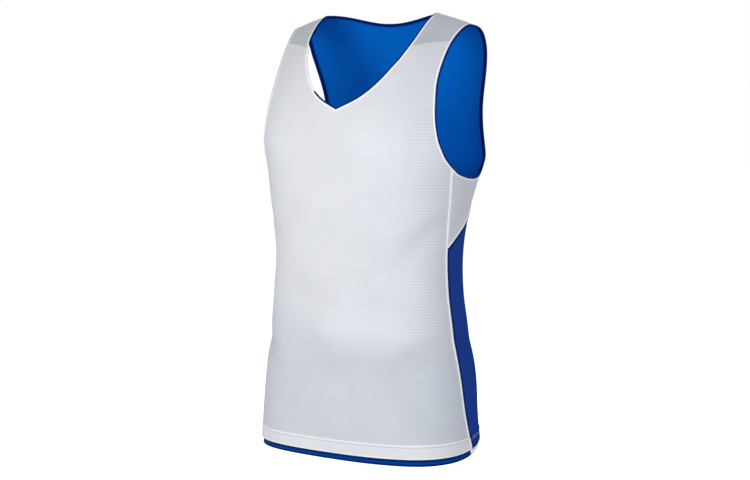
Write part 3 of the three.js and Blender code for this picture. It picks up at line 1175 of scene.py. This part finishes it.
def join_line(cut: Cut, samples: int = 24) -> tuple[np.ndarray, np.ndarray]:
    """The slanted seam between an insert's upper and lower pieces.

    Args:
        cut: The outlines.
        samples: Points along it.

    Returns:
        Angles and rows.
    """
    across = np.linspace(0, 1, samples)
    row = cut.insert_join(across)
    angles, _ = cut.divide(row, cut.front_seam(row), cut.back_seam(row), across)
    return angles[np.arange(samples), np.arange(samples)], row


def shoulder_line(cut: Cut, samples: int = 24) -> tuple[np.ndarray, np.ndarray]:
    """The shoulder seam, from the neck outwards, on the front's side of the ridge.

    Args:
        cut: The outlines.
        samples: Points along it.

    Returns:
        Angles and rows.
    """
    share = np.linspace(0, 1, samples)
    near, _ = cut.edges(cut.shoulder_seam - cut.seam_slant / 2, Facing.FRONT)
    _, far = cut.edges(cut.shoulder_seam + cut.seam_slant / 2, Facing.FRONT)
    angles, _ = cut.divide(np.array([cut.shoulder_seam]), near, far, share)
    return angles[0], cut.shoulder_seam + cut.seam_slant * (share - 0.5)


@dataclass
class Cloth:
    """One layer's pieces as thin shells on their solids' forms, with hems, seam allowances, creases and
    painted light and shade.
    """

    layer: Layer
    cut: Cut
    tailor: Tailor
    edges: Edges
    step: float = 3.2
    seam_raise: float = 0.35
    seam_width: float = 4.0
    seam_core: float = 0.6
    seam_double: float = 0.5
    roll_raise: float = 0.2
    roll_width: float = 4.0
    roll_core: float = 0.8
    hem_edge: float = 0.8
    hem_top_from: float = -0.2
    hem_bottom_highlight: Row = (1.5, 4)
    hem_ridge: float = 0.5
    hem_ridge_width: float = 1.2
    hem_trough: float = 0.3
    hem_trough_drop: float = 3.2
    hem_trough_width: float = 1.1
    pucker: float = 0.22
    pucker_width: float = 7.0
    pucker_turns: Row = (17, 29)
    pucker_second: Row = (0.7, 1.3)
    hem_light: float = 0.3
    lining_hem_light: float = 0.85
    hem_ridge_highlight: float = 0.06
    armhole_row: float = 480
    armhole_rows: float = 50
    armhole_turn: float = 60
    armhole_painted_light: float = 0.25
    under_hem_shade: float = 0.85
    under_hem_drop: float = 2
    under_hem_width: float = 3.4
    trough_shade: float = 0.2
    yoke_shade: float = 0.2
    yoke_rows: float = 87
    yoke_edge: Row = (1, 20)
    yoke_start: float = 0.35
    fold_shade: float = 0.016
    low_rows: Row = (160.0, 225.0)
    low_shade_slant: float = 50.0
    low_shade_turned: Row = (95, 130)
    slack_from: Row = (0.55, 1.0)
    slack_rise: float = 3
    lining_insert_painted_light: float = 1.15
    piped_width: Row = (4.5, 10.5)
    piped_shade: float = 0.8
    sheen_streak_turn: float = 0.5
    sheen_streak_depth: float = 0.08

    def relief(
        self, seen: np.ndarray, row: np.ndarray, rolled: np.ndarray, seam: np.ndarray
    ) -> tuple[np.ndarray, dict[str, np.ndarray]]:
        """How far the good side stands over the plain cloth, where it is doubled, and where painted light and
        shade make it lighter, darker or cooler.

        Args:
            seen: Angles round the whole figure, with the wearer's right over 90.
            row: Rows.
            rolled: Distances to the rolled edges.
            seam: Distances to the seams.

        Returns:
            Heights in millimetres, and marks by name.
        """
        up = row - self.layer.hem
        top = self.layer.hem_depth
        ended = smooth_step(up, top + self.hem_top_from, top + self.hem_edge)
        hem = smooth_step(up, 0, self.hem_edge) * (1 - ended)
        ridge = np.exp(-(((up - top) / self.hem_ridge_width) ** 2))
        trough = np.exp(-(((up - top + self.hem_trough_drop) / self.hem_trough_width) ** 2))
        near_hem = np.exp(-(((up - top) / self.pucker_width) ** 2))
        turn = np.radians(seen)
        long, short = self.pucker_turns
        share, shift = self.pucker_second
        wave = np.sin(turn * long) + share * np.sin(turn * short + shift)
        along_seam = 1 - smooth_step(seam, self.seam_width * self.seam_core, self.seam_width)
        along_roll = 1 - smooth_step(rolled, self.roll_width * self.roll_core, self.roll_width)
        height = (
            self.layer.hem_fold * hem
            + self.hem_ridge * ridge
            - self.hem_trough * trough
            + self.pucker * wave * near_hem
            + self.seam_raise * along_seam
            + self.roll_raise * along_roll
        )
        # The hem's bottom fold and its top ridge take the doubled colour in full, on the white layer a
        # painted highlight; the rest of the band and the seams are doubled cloth.
        fold = 1 - smooth_step(up, *self.hem_bottom_highlight)
        doubled = hem * (self.hem_light if self.layer is OUTER else self.lining_hem_light)
        double = np.maximum(np.maximum(doubled, np.maximum(ridge, fold)), along_seam * self.seam_double)
        # Painted shade, tinted cool, on the yoke in front of the shoulder ridge, which faces up away from the
        # light; darkest by the shoulder seam.
        over = row - self.cut.figure.ridge
        deepened = self.yoke_start + (1 - self.yoke_start) * np.clip(over / self.yoke_rows, 0, 1)
        yoke = smooth_step(over, *self.yoke_edge) * deepened
        # Painted shade, tinted cool, on the lower body below where it turns down from the light, reaching
        # higher on the wearer's right and leaving out the hem.
        higher = self.low_shade_slant * smooth_step(seen, *self.low_shade_turned)
        low = (1 - smooth_step(row - higher, *self.low_rows)) * (1 - hem)
        # Painted highlight on the hem's ridge and painted shade in the trough below it.
        shade = (1 + self.hem_ridge_highlight * ridge) * (1 - self.trough_shade * trough)
        shade = shade * (1 - self.yoke_shade * yoke)
        # On the lining the shade is worked out anew: a painted shadow under the outer layer's hem, and
        # painted light on its near side by the armhole.
        if self.layer is LINING:
            below = (row - OUTER.hem + self.under_hem_drop) / self.under_hem_width
            beyond = (row - self.armhole_row) / self.armhole_rows
            by_armhole = np.exp(-(beyond**2)) * (seen < self.armhole_turn)
            shade = (1 - self.under_hem_shade * np.exp(-(below**2))) * (1 + self.armhole_painted_light * by_armhole)
        marks = {"double": np.clip(double, 0, 1), "shade": shade, "cool": np.maximum(low, yoke)}
        return height, marks

    def grid(
        self, name: str, angle: np.ndarray, row: np.ndarray, across: np.ndarray, hand: Hand
    ) -> bpy.types.Object:
        """Lays one grid of the layer's cloth.

        Args:
            name: The piece's name.
            angle: Angles of each row and column.
            row: Rows of each row and column.
            across: Lengths across the cloth at each, from the middle.
            hand: The side of the wearer.

        Returns:
            The new piece, a single surface with its good side's faces out.
        """
        middle, normal = self.cut.drape.cloth(angle, row, hand)
        rolled = Edges.distance(self.edges.rolled, middle)
        seam = Edges.distance(self.edges.seams, middle)
        seen = angle if hand is Hand.LEFT else 180 - angle
        height, marks = self.relief(seen, row, rolled, seam)
        # Painted shade in the folds: the deeper a fold presses in, the darker the cloth; where the depth is
        # negative, a ridge, it comes out lighter.
        marks["shade"] = marks["shade"] * (1 - self.fold_shade * self.cut.drape.depth(seen, row))
        # The outer blue insert darkens to navy beside its seams, where its piping lies, and bands across its
        # width go lighter and darker, a painted sheen.
        if "outer_insert_lower" in name:
            beside = 1 - smooth_step(seam, *self.piped_width)
            sheen_streak = np.cos(across * self.sheen_streak_turn) * self.sheen_streak_depth
            marks["shade"] = marks["shade"] * (1 - self.piped_shade * beside) * (1 + sheen_streak)
        # The lining's white lower insert loses all painted shade and is evenly lifted, a painted light.
        if "lining_insert_lower" in name:
            marks["shade"] = np.full_like(row, self.lining_insert_painted_light)
        side = self.layer.side
        places = middle + normal * (self.layer.good_side + side * height)[..., None]
        up = row - self.layer.hem
        above = smooth_step(up, self.layer.hem_depth, self.layer.hem_depth + self.slack_rise)
        marks["slack"] = smooth_step(np.abs(np.cos(np.radians(angle))), *self.slack_from) * above
        marks["edge"] = np.minimum(np.minimum(rolled, seam), np.abs(up))
        uv = np.stack((across * hand.value, row), axis=-1)
        centre = normal[normal.shape[0] // 2, normal.shape[1] // 2] * side
        return self.tailor.lay(name, places, uv, marks, centre)

    def finish(self, piece: bpy.types.Object, node: str, slot: str, flat: Row, area: float) -> None:
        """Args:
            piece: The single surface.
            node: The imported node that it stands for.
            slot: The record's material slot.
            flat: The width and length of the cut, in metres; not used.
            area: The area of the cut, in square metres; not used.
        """
        wall = self.layer.wall * MM
        apply_modifier(piece, "SOLIDIFY", thickness=wall, offset=-1.0, use_even_offset=False)
        dress(piece, FINISHES[slot])
        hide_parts(node)

    def hem_rows(self) -> np.ndarray:
        """Rows through the hem, close together where it folds and where it is stitched."""
        up = np.array([0, 0.4, 0.9, 1.8, 3.5, 6, 9, 12, 15, 17.5, 19, 20, 21, 22, 23, 24, 25, 26.5, 28.5, 31])
        return self.layer.hem + up


@dataclass
class Panel(Cloth):
    """A front or back, cut in one piece whose halves meet at the middle up to the neck."""

    facing: Facing = Facing.FRONT
    half_width: float = 210
    dome_steps: int = 25
    crowding: float = 1.3

    def rows(self) -> list[tuple[float, float]]:
        """The panel's rows from the hem to the shoulder seam.

        Returns:
            Each row, and how far it slants up outwards.
        """
        cut, front = self.cut, self.facing is Facing.FRONT
        pit = cut.pit_front if front else cut.pit_back
        neck = cut.v_point if front else cut.back_neck
        hem = self.hem_rows()
        rows = [(float(row), 0.0) for row in hem]
        rows += [(float(row), 0.0) for row in self.between(hem[-1], pit)[1:]]
        rows += [(float(row), 0.0) for row in self.between(pit, neck)[1:]]
        if not front:
            turns = np.linspace(0, math.pi / 2, self.dome_steps + 1)[1:]
            rows += [(neck + (cut.figure.ridge - neck) * (1 - math.cos(turn)), 0.0) for turn in turns]
        start = neck if front else cut.figure.ridge
        end = cut.shoulder_seam if front else 2 * cut.figure.ridge - cut.shoulder_seam
        steps = int((end - start) / self.step)
        for i in range(1, steps + 1):
            share = (i / steps) ** self.crowding if front else i / steps
            rows.append((start + (end - start) * share, self.facing.value * cut.seam_slant * share))
        return rows

    def between(self, low: float, high: float) -> np.ndarray:
        """Even rows from one to another."""
        return np.linspace(low, high, int(round((high - low) / self.step)) + 1)

    def build(self) -> bpy.types.Object:
        """Builds both halves, sews them and finishes the panel.

        Returns:
            The finished piece.
        """
        cut = self.cut
        table = np.array(self.rows())
        row, slant = table[:, 0], table[:, 1]
        near, _ = cut.edges(row - slant / 2, self.facing)
        _, far = cut.edges(row + slant / 2, self.facing)
        shares = np.linspace(0, 1, int(self.half_width / self.step) + 1)
        angle, length = cut.divide(row, near, far, shares)
        middle = np.full_like(row, 90.0 * self.facing.value)
        _, before_neck = cut.divide(row, middle, near, np.array([1.0]))
        across = before_neck + length
        slanted = row[:, None] + slant[:, None] * (shares - 0.5)
        facing = "front" if self.facing is Facing.FRONT else "back"
        node = f"{self.layer.name}_{facing}"
        halves = [self.grid(f"{node}_{hand.name.lower()}", angle, slanted, across, hand) for hand in Hand]
        piece = self.tailor.sew(f"cloth_{node}", halves)
        flat, area = self.layer.front_cut if self.facing is Facing.FRONT else self.layer.back_cut
        self.finish(piece, node, self.layer.main_slot, flat, area)
        return piece


@dataclass
class Insert(Cloth):
    """One piece of a side insert, above or below its slanted join."""

    hand: Hand = Hand.LEFT
    upper: bool = False
    width: float = 115
    upper_height: float = 70
    lower_height: float = 350

    def build(self) -> bpy.types.Object:
        """Builds the piece and finishes it.

        Returns:
            The finished piece.
        """
        cut = self.cut
        shares = np.linspace(0, 1, int(self.width / self.step) + 1)
        join, pit = cut.insert_join(shares), cut.pit(shares)
        if self.upper:
            steps = np.linspace(0, 1, int(self.upper_height / self.step) + 1)
            row = join + (pit - join) * steps[:, None]
        else:
            hem = self.hem_rows()
            steps = np.linspace(0, 1, int(self.lower_height / self.step) + 1)[1:]
            rise = hem[-1] + (join - hem[-1]) * steps[:, None]
            row = np.concatenate((np.repeat(hem[:, None], len(shares), axis=1), rise))
        angle, length = np.empty_like(row), np.empty_like(row)
        for j, share in enumerate(shares):
            line = row[:, j]
            found, along = cut.divide(line, cut.front_seam(line), cut.back_seam(line), np.array([share]))
            angle[:, j], length[:, j] = found[:, 0], along[:, 0]
        place = "upper" if self.upper else "lower"
        node = f"{self.layer.name}_insert_{place}_{self.hand.name.lower()}"
        slot = self.layer.main_slot if self.upper else self.layer.insert_slot
        piece = self.grid(f"cloth_{node}", angle, row, length, self.hand)
        flat, area = self.layer.upper_cut if self.upper else self.layer.lower_cut
        self.finish(piece, node, slot, flat, area)
        return piece


@dataclass
class RolledEdge:
    """The rolled edges of the neck and armholes: a white roll on the cloth and a blue one beyond its edge."""

    cut: Cut
    tailor: Tailor
    step: float = 2.0
    white_size: Row = (1.6, 1.2)
    blue_size: Row = (1.6, 1.7)
    white_place: Row = (-1.3, 1.1)
    blue_place: Row = (1.5, 0.3)
    white_turned: Row = (1.3, 0.3)
    blue_turned: Row = (-3.5, -1.4)
    turned_rows: tuple[float, float, float, float] = (580, 592, 668, 690)
    thin_rows: Row = (725, 765)
    thinned: float = 0.45
    drawn_in: float = 1.0

    def build(self) -> None:
        """Builds the rolls of the neck and of both armholes, in both colours."""
        loops = {"neck": self.neck_loop()}
        for hand in Hand:
            angle, row = self.cut.armhole_edge(120)
            place, normal = self.cut.drape.cloth(angle, row, hand)
            loops[f"armhole_{hand.name.lower()}"] = (place, normal, np.zeros((len(place), 2)))
        for name, (place, normal, shares) in loops.items():
            path, facing, shares = resample(place, [normal, shares], self.step)
            turned, behind = shares[:, :1], shares[:, 1]
            inward = self.inward(path, facing)
            for colour, plain, under, size, finish, slot in (
                ("white", self.white_place, self.white_turned, self.white_size, WHITE_THREAD, "white_knit"),
                ("blue", self.blue_place, self.blue_turned, self.blue_size, BLUE_THREAD, "blue_knit"),
            ):
                beyond, off = (plain[k] + (under[k] - plain[k]) * turned for k in (0, 1))
                beyond = beyond - self.drawn_in * behind[:, None]
                middle = path + inward * beyond + facing * off
                thick = 1 - self.thinned * behind
                roll = self.tailor.tube(f"{name}_roll_{colour}", middle, facing, size, thick, 10)
                dress(roll, finish)

    @staticmethod
    def inward(path: np.ndarray, facing: np.ndarray) -> np.ndarray:
        """The way from a loop into its opening, along the cloth.

        Args:
            path: Points of the loop, its last the first again.
            facing: The way that the cloth faces at each.

        Returns:
            Unit vectors.
        """
        across = unit(np.cross(way_along(path, closed=True), facing))
        towards = path.mean(axis=0) - path
        return across * np.sign((across * towards).sum())

    def neck_loop(self) -> tuple[np.ndarray, np.ndarray, np.ndarray]:
        """The whole edge of the neck, round from the V by the wearer's left to the V again.

        Returns:
            Places, facings, and two shares: how far the white roll is turned over the blue one, in front on
            the right, and how much of the rolls' size is lost behind.
        """
        angle, row = self.cut.neck_edge(120)
        low, full, still, high = self.turned_rows
        over = smooth_step(row, low, full) * (1 - smooth_step(row, still, high)) * (angle > 0)
        turned = np.concatenate((np.zeros(len(row)), over[::-1][1:]))
        thin = (1 - smooth_step(row, *self.thin_rows)) * (angle < 0)
        shares = np.stack((turned, np.concatenate((thin, thin[::-1][1:]))), axis=-1)
        return *self.cut.drape.both_sides(angle, row), shares


@dataclass
class Welts:
    """The raised seams: down both sides of each insert, along its slanted join and, on the lining, over each
    shoulder.
    """

    cut: Cut
    tailor: Tailor
    layer: Layer
    step: float = 3.0
    side_size: Row = (2.3, 0.6)
    join_size: Row = (1.9, 0.8)
    piping_drop: float = 3.9
    edge_size: Row = (2.2, 0.6)
    edge_turn: float = 1.3
    hem_gap: float = 0.5
    pit_gap: float = 1.5
    lift: float = 0.25

    def build(self) -> None:
        """Builds the layer's welts on both sides of the wearer."""
        cut, layer = self.cut, self.layer
        foot = layer.hem + self.hem_gap
        front = np.linspace(foot, cut.pit_front - self.pit_gap, 120)
        join = float(cut.insert_join(1.0))
        back = np.linspace(join, cut.pit_back - self.pit_gap, 30)
        low = np.linspace(foot, join, 100)
        lines = {
            "side_seam_front": (cut.front_seam(front), front, self.side_size),
            "side_seam_back": (cut.back_seam(back), back, self.side_size),
            "side_seam_back_low": (cut.back_seam(low), low, self.side_size),
            "insert_seam": (*join_line(cut), self.join_size),
        }
        white = layer is OUTER
        main, main_slot = (WHITE_THREAD, "white_knit") if white else (BLUE_THREAD, "blue_knit")
        if white:
            angle, row = join_line(cut)
            lines["insert_piping"] = (angle, row - self.piping_drop, self.join_size)
            beside = np.linspace(foot, float(cut.insert_join(0.0)) - self.piping_drop, 90)
            lines["insert_edge"] = (cut.front_seam(beside) - self.edge_turn, beside, self.edge_size)
        else:
            lines["shoulder_seam"] = (*shoulder_line(cut), self.join_size)
        for hand in Hand:
            for name, (angle, row, size) in lines.items():
                piped = white and name in ("insert_piping", "insert_edge", "side_seam_back_low")
                finish, slot = (BLUE_THREAD, "blue_insert_knit") if piped else (main, main_slot)
                place, normal = cut.drape.cloth(angle, row, hand)
                up = row - layer.hem
                fold = layer.hem_fold * (1 - smooth_step(up, layer.hem_depth - 1, layer.hem_depth + 1))
                off = layer.good_side + layer.side * (fold + self.lift)
                path, facing = resample(place + normal * off[:, None], [normal], self.step)
                full_name = f"{layer.name}_{name}_{hand.name.lower()}"
                welt = self.tailor.tube(full_name, path, facing * layer.side, size)
                dress(welt, finish)


@dataclass
class Stitches:
    """Rows of machine stitches: one stitch is modelled once and copied along each line."""

    cut: Cut
    tailor: Tailor
    length: float = 2.5
    pitch: float = 3.1
    width: float = 0.55
    height: float = 0.4
    upper_row: float = 21.6
    lower_row: float = 18.2
    samples: int = 361

    def one(self) -> tuple[np.ndarray, list[tuple[int, ...]]]:
        """Models a single stitch, a ball of unit radius before it is scaled.

        Returns:
            Its points and faces.
        """
        deselect()
        bpy.ops.mesh.primitive_uv_sphere_add(segments=6, ring_count=4, radius=1)
        stitch = bpy.context.object
        points = np.array([vertex.co for vertex in stitch.data.vertices])
        faces = [tuple(face.vertices) for face in stitch.data.polygons]
        bpy.data.objects.remove(stitch)
        return points, faces

    def sew(self, name: str, place: np.ndarray, normal: np.ndarray, finish: ThreadFinish, slot: str) -> None:
        """Sews one line.

        Args:
            name: The piece's name.
            place: Points of the line, on the cloth's face.
            normal: The way that the face looks at each.
            finish: The thread's finish.
            slot: The record's material slot; not used.
        """
        points, faces = self.one()
        path, facing = resample(place, [normal], self.pitch)
        centre = (path[1:] + path[:-1]) / 2
        along = unit(path[1:] - path[:-1])
        across = unit(np.cross(facing[1:] + facing[:-1], along))
        off = np.cross(along, across)
        scaled = points * np.array([self.length, self.width, self.height]) / 2
        places = centre[:, None] + sum(
            scaled[None, :, k, None] * way[:, None] for k, way in enumerate((along, across, off))
        )
        count = len(points)
        all_faces = [tuple(v + i * count for v in face) for i in range(len(centre)) for face in faces]
        mesh = bpy.data.meshes.new(name)
        mesh.from_pydata(self.tailor.metres(places.reshape(-1, 3)), [], all_faces)
        piece = bpy.data.objects.new(name, mesh)
        bpy.context.scene.collection.objects.link(piece)
        dress(piece, finish)

    def loop(self, row: float) -> tuple[np.ndarray, np.ndarray]:
        """The cloth's middle and facing at one row, all round the garment."""
        angle = np.linspace(-90, 90, self.samples)
        return self.cut.drape.both_sides(angle, np.full_like(angle, row))

    def build(self) -> None:
        """Sews the twin rows of both hems."""
        for layer, finish, slot in ((OUTER, WHITE_THREAD, "white_knit"), (LINING, BLUE_THREAD, "blue_knit")):
            for line, up in (("upper", self.upper_row), ("lower", self.lower_row)):
                place, normal = self.loop(layer.hem + up)
                off = layer.good_side + layer.side * layer.hem_fold
                self.sew(f"{layer.name}_hem_{line}_stitches", place + normal * off, normal, finish, slot)


@dataclass(frozen=True)
class Lamp:
    """A square soft light that looks at the garment's middle line, in metres and watts."""

    name: str
    place: tuple[float, float, float]
    aim: float
    size: float
    power: float
    colour: tuple[float, float, float] = (1, 1, 1)
    spread: float = 180

    def build(self) -> None:
        """Adds the light, which the camera doesn't see itself."""
        place = Vector(self.place)
        turn = (Vector((0, 0, self.aim)) - place).to_track_quat("-Z", "Y").to_euler()
        deselect()
        bpy.ops.object.light_add(type="AREA", location=place, rotation=turn)
        lamp = bpy.context.object
        lamp.name = self.name
        lamp.data.size, lamp.data.energy, lamp.data.color = self.size, self.power, self.colour
        lamp.data.spread = math.radians(self.spread)
        lamp.visible_camera = False


LAMPS = (
    Lamp("key", (-0.3, -1.7, 0.05), -0.14, 1.2, 3.8, (1.0, 0.985, 0.965), 80),
    Lamp("fill", (2.2, -1.8, 0.05), -0.3, 2.0, 27, (0.97, 0.98, 1.0)),
    Lamp("side", (-2.5, -0.9, 0.0), -0.35, 1.6, 9),
    Lamp("back", (-0.5, 2.6, 0.4), -0.3, 2.0, 27),
)


@dataclass
class Studio:
    """The plain pale floor, the soft lights and the camera at the photo's angle."""

    azimuth: float = 30.0
    distance: float = 3.0
    rise: float = 0.23
    target_z: float = -0.3586
    target_y: float = -0.037
    sideways: float = 0.0074
    lens: float = 87.74
    floor_drop: float = 0.28
    floor_size: float = 40.0
    card: Colour = (0.95, 0.95, 0.95, 1)
    card_fleck: Colour = (0.93, 0.93, 0.94, 1)
    card_grain: float = 60.0
    card_roughness: float = 0.9
    card_glow: float = 0.75
    surround: Colour = (0.90, 0.92, 1.0, 1)
    surround_strength: float = 0.37

    def camera(self) -> None:
        """Places the camera."""
        turn = math.radians(self.azimuth)
        right = Vector((math.cos(turn), math.sin(turn), 0))
        back = Vector((math.sin(turn), -math.cos(turn), 0))
        target = Vector((0, self.target_y, self.target_z)) + right * self.sideways
        eye = target + back * self.distance + Vector((0, 0, self.rise))
        deselect()
        bpy.ops.object.camera_add(location=eye, rotation=(target - eye).to_track_quat("-Z", "Y").to_euler())
        camera = bpy.context.object
        camera.data.lens = self.lens
        camera.data.clip_end = 100
        bpy.context.scene.camera = camera

    def world(self) -> None:
        """Sets a pale surround that lights evenly."""
        world = bpy.data.worlds.new("surround")
        bpy.context.scene.world = world
        world.use_nodes = True
        nodes = Nodes(world.node_tree)
        lit = nodes.add("Background", {"Color": self.surround, "Strength": self.surround_strength})
        shown = nodes.add("Background", {"Color": (1, 1, 1, 1), "Strength": 1.0})
        seen = nodes.add("LightPath").outputs["Is Camera Ray"]
        both = nodes.add("MixShader", {0: seen, 1: lit.outputs[0], 2: shown.outputs[0]})
        nodes.add("OutputWorld", {"Surface": both.outputs[0]})

    def floor(self) -> None:
        """Lays the floor, a wide pale sheet of card."""
        low = CAD_BOX[0].z - self.floor_drop
        deselect()
        bpy.ops.mesh.primitive_plane_add(size=self.floor_size, location=(0, 0, low))
        floor = bpy.context.object
        floor.name = "floor"
        material = bpy.data.materials.new("pale_card")
        material.use_nodes = True
        nodes = Nodes(material.node_tree)
        place = nodes.add("TexCoord").outputs["Object"]
        grain = nodes.add("TexNoise", {"Vector": place, "Scale": self.card_grain, "Detail": 2.0})
        colour = nodes.mix(grain.outputs["Fac"], self.card_fleck, self.card)
        card = {"Base Color": colour, "Roughness": self.card_roughness, "Specular IOR Level": 0.0}
        plain = nodes.add("BsdfPrincipled", card)
        glow = {"Emission Color": (1, 1, 1, 1), "Emission Strength": self.card_glow}
        bright = nodes.add("BsdfPrincipled", card | glow)
        seen = nodes.add("LightPath").outputs["Is Camera Ray"]
        both = nodes.add("MixShader", {0: seen, 1: plain.outputs[0], 2: bright.outputs[0]})
        nodes.add("OutputMaterial", {"Surface": both.outputs[0]})
        floor.data.materials.append(material)

    def build(self) -> None:
        """Sets the scene up."""
        self.camera()
        self.world()
        self.floor()
        for lamp in LAMPS:
            lamp.build()
        bpy.context.scene.view_settings.view_transform = "Standard"


def part_origin(cut: Cut) -> np.ndarray:
    """The part's origin in the cut's millimetres, midway between the undersides of the straps on the ridge.

    Args:
        cut: The outlines.

    Returns:
        One point.
    """
    figure = cut.figure
    ridge = np.array([figure.ridge])
    strap = np.array([(figure.neck_half + figure.tip_half) / 2])
    angle = figure.angle_at(strap, ridge, np.array([False]))
    place = figure.surface(angle, ridge)[0]
    underside = OUTER.gap / 2 + OUTER.wall
    return np.array([0, place[1], place[2] - underside])


def main() -> None:
    """Builds the studio, then both layers with their edges, seams and stitches."""
    logging.basicConfig(level=logging.INFO, format="%(message)s")
    Studio().build()
    cut = Cut()
    tailor = Tailor(part_origin(cut))
    edges = Edges(cut)
    for layer, step in ((OUTER, 3.2), (LINING, 5.0)):
        shared = {"layer": layer, "cut": cut, "tailor": tailor, "edges": edges, "step": step}
        Panel(**shared, facing=Facing.FRONT).build()
        Panel(**shared, facing=Facing.BACK).build()
        for hand in Hand:
            Insert(**shared, hand=hand, upper=False).build()
            Insert(**shared, hand=hand, upper=True).build()
        Welts(cut, tailor, layer).build()
    RolledEdge(cut, tailor).build()
    Stitches(cut, tailor).build()
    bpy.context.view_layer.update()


if __name__ == "__main__":
    main()
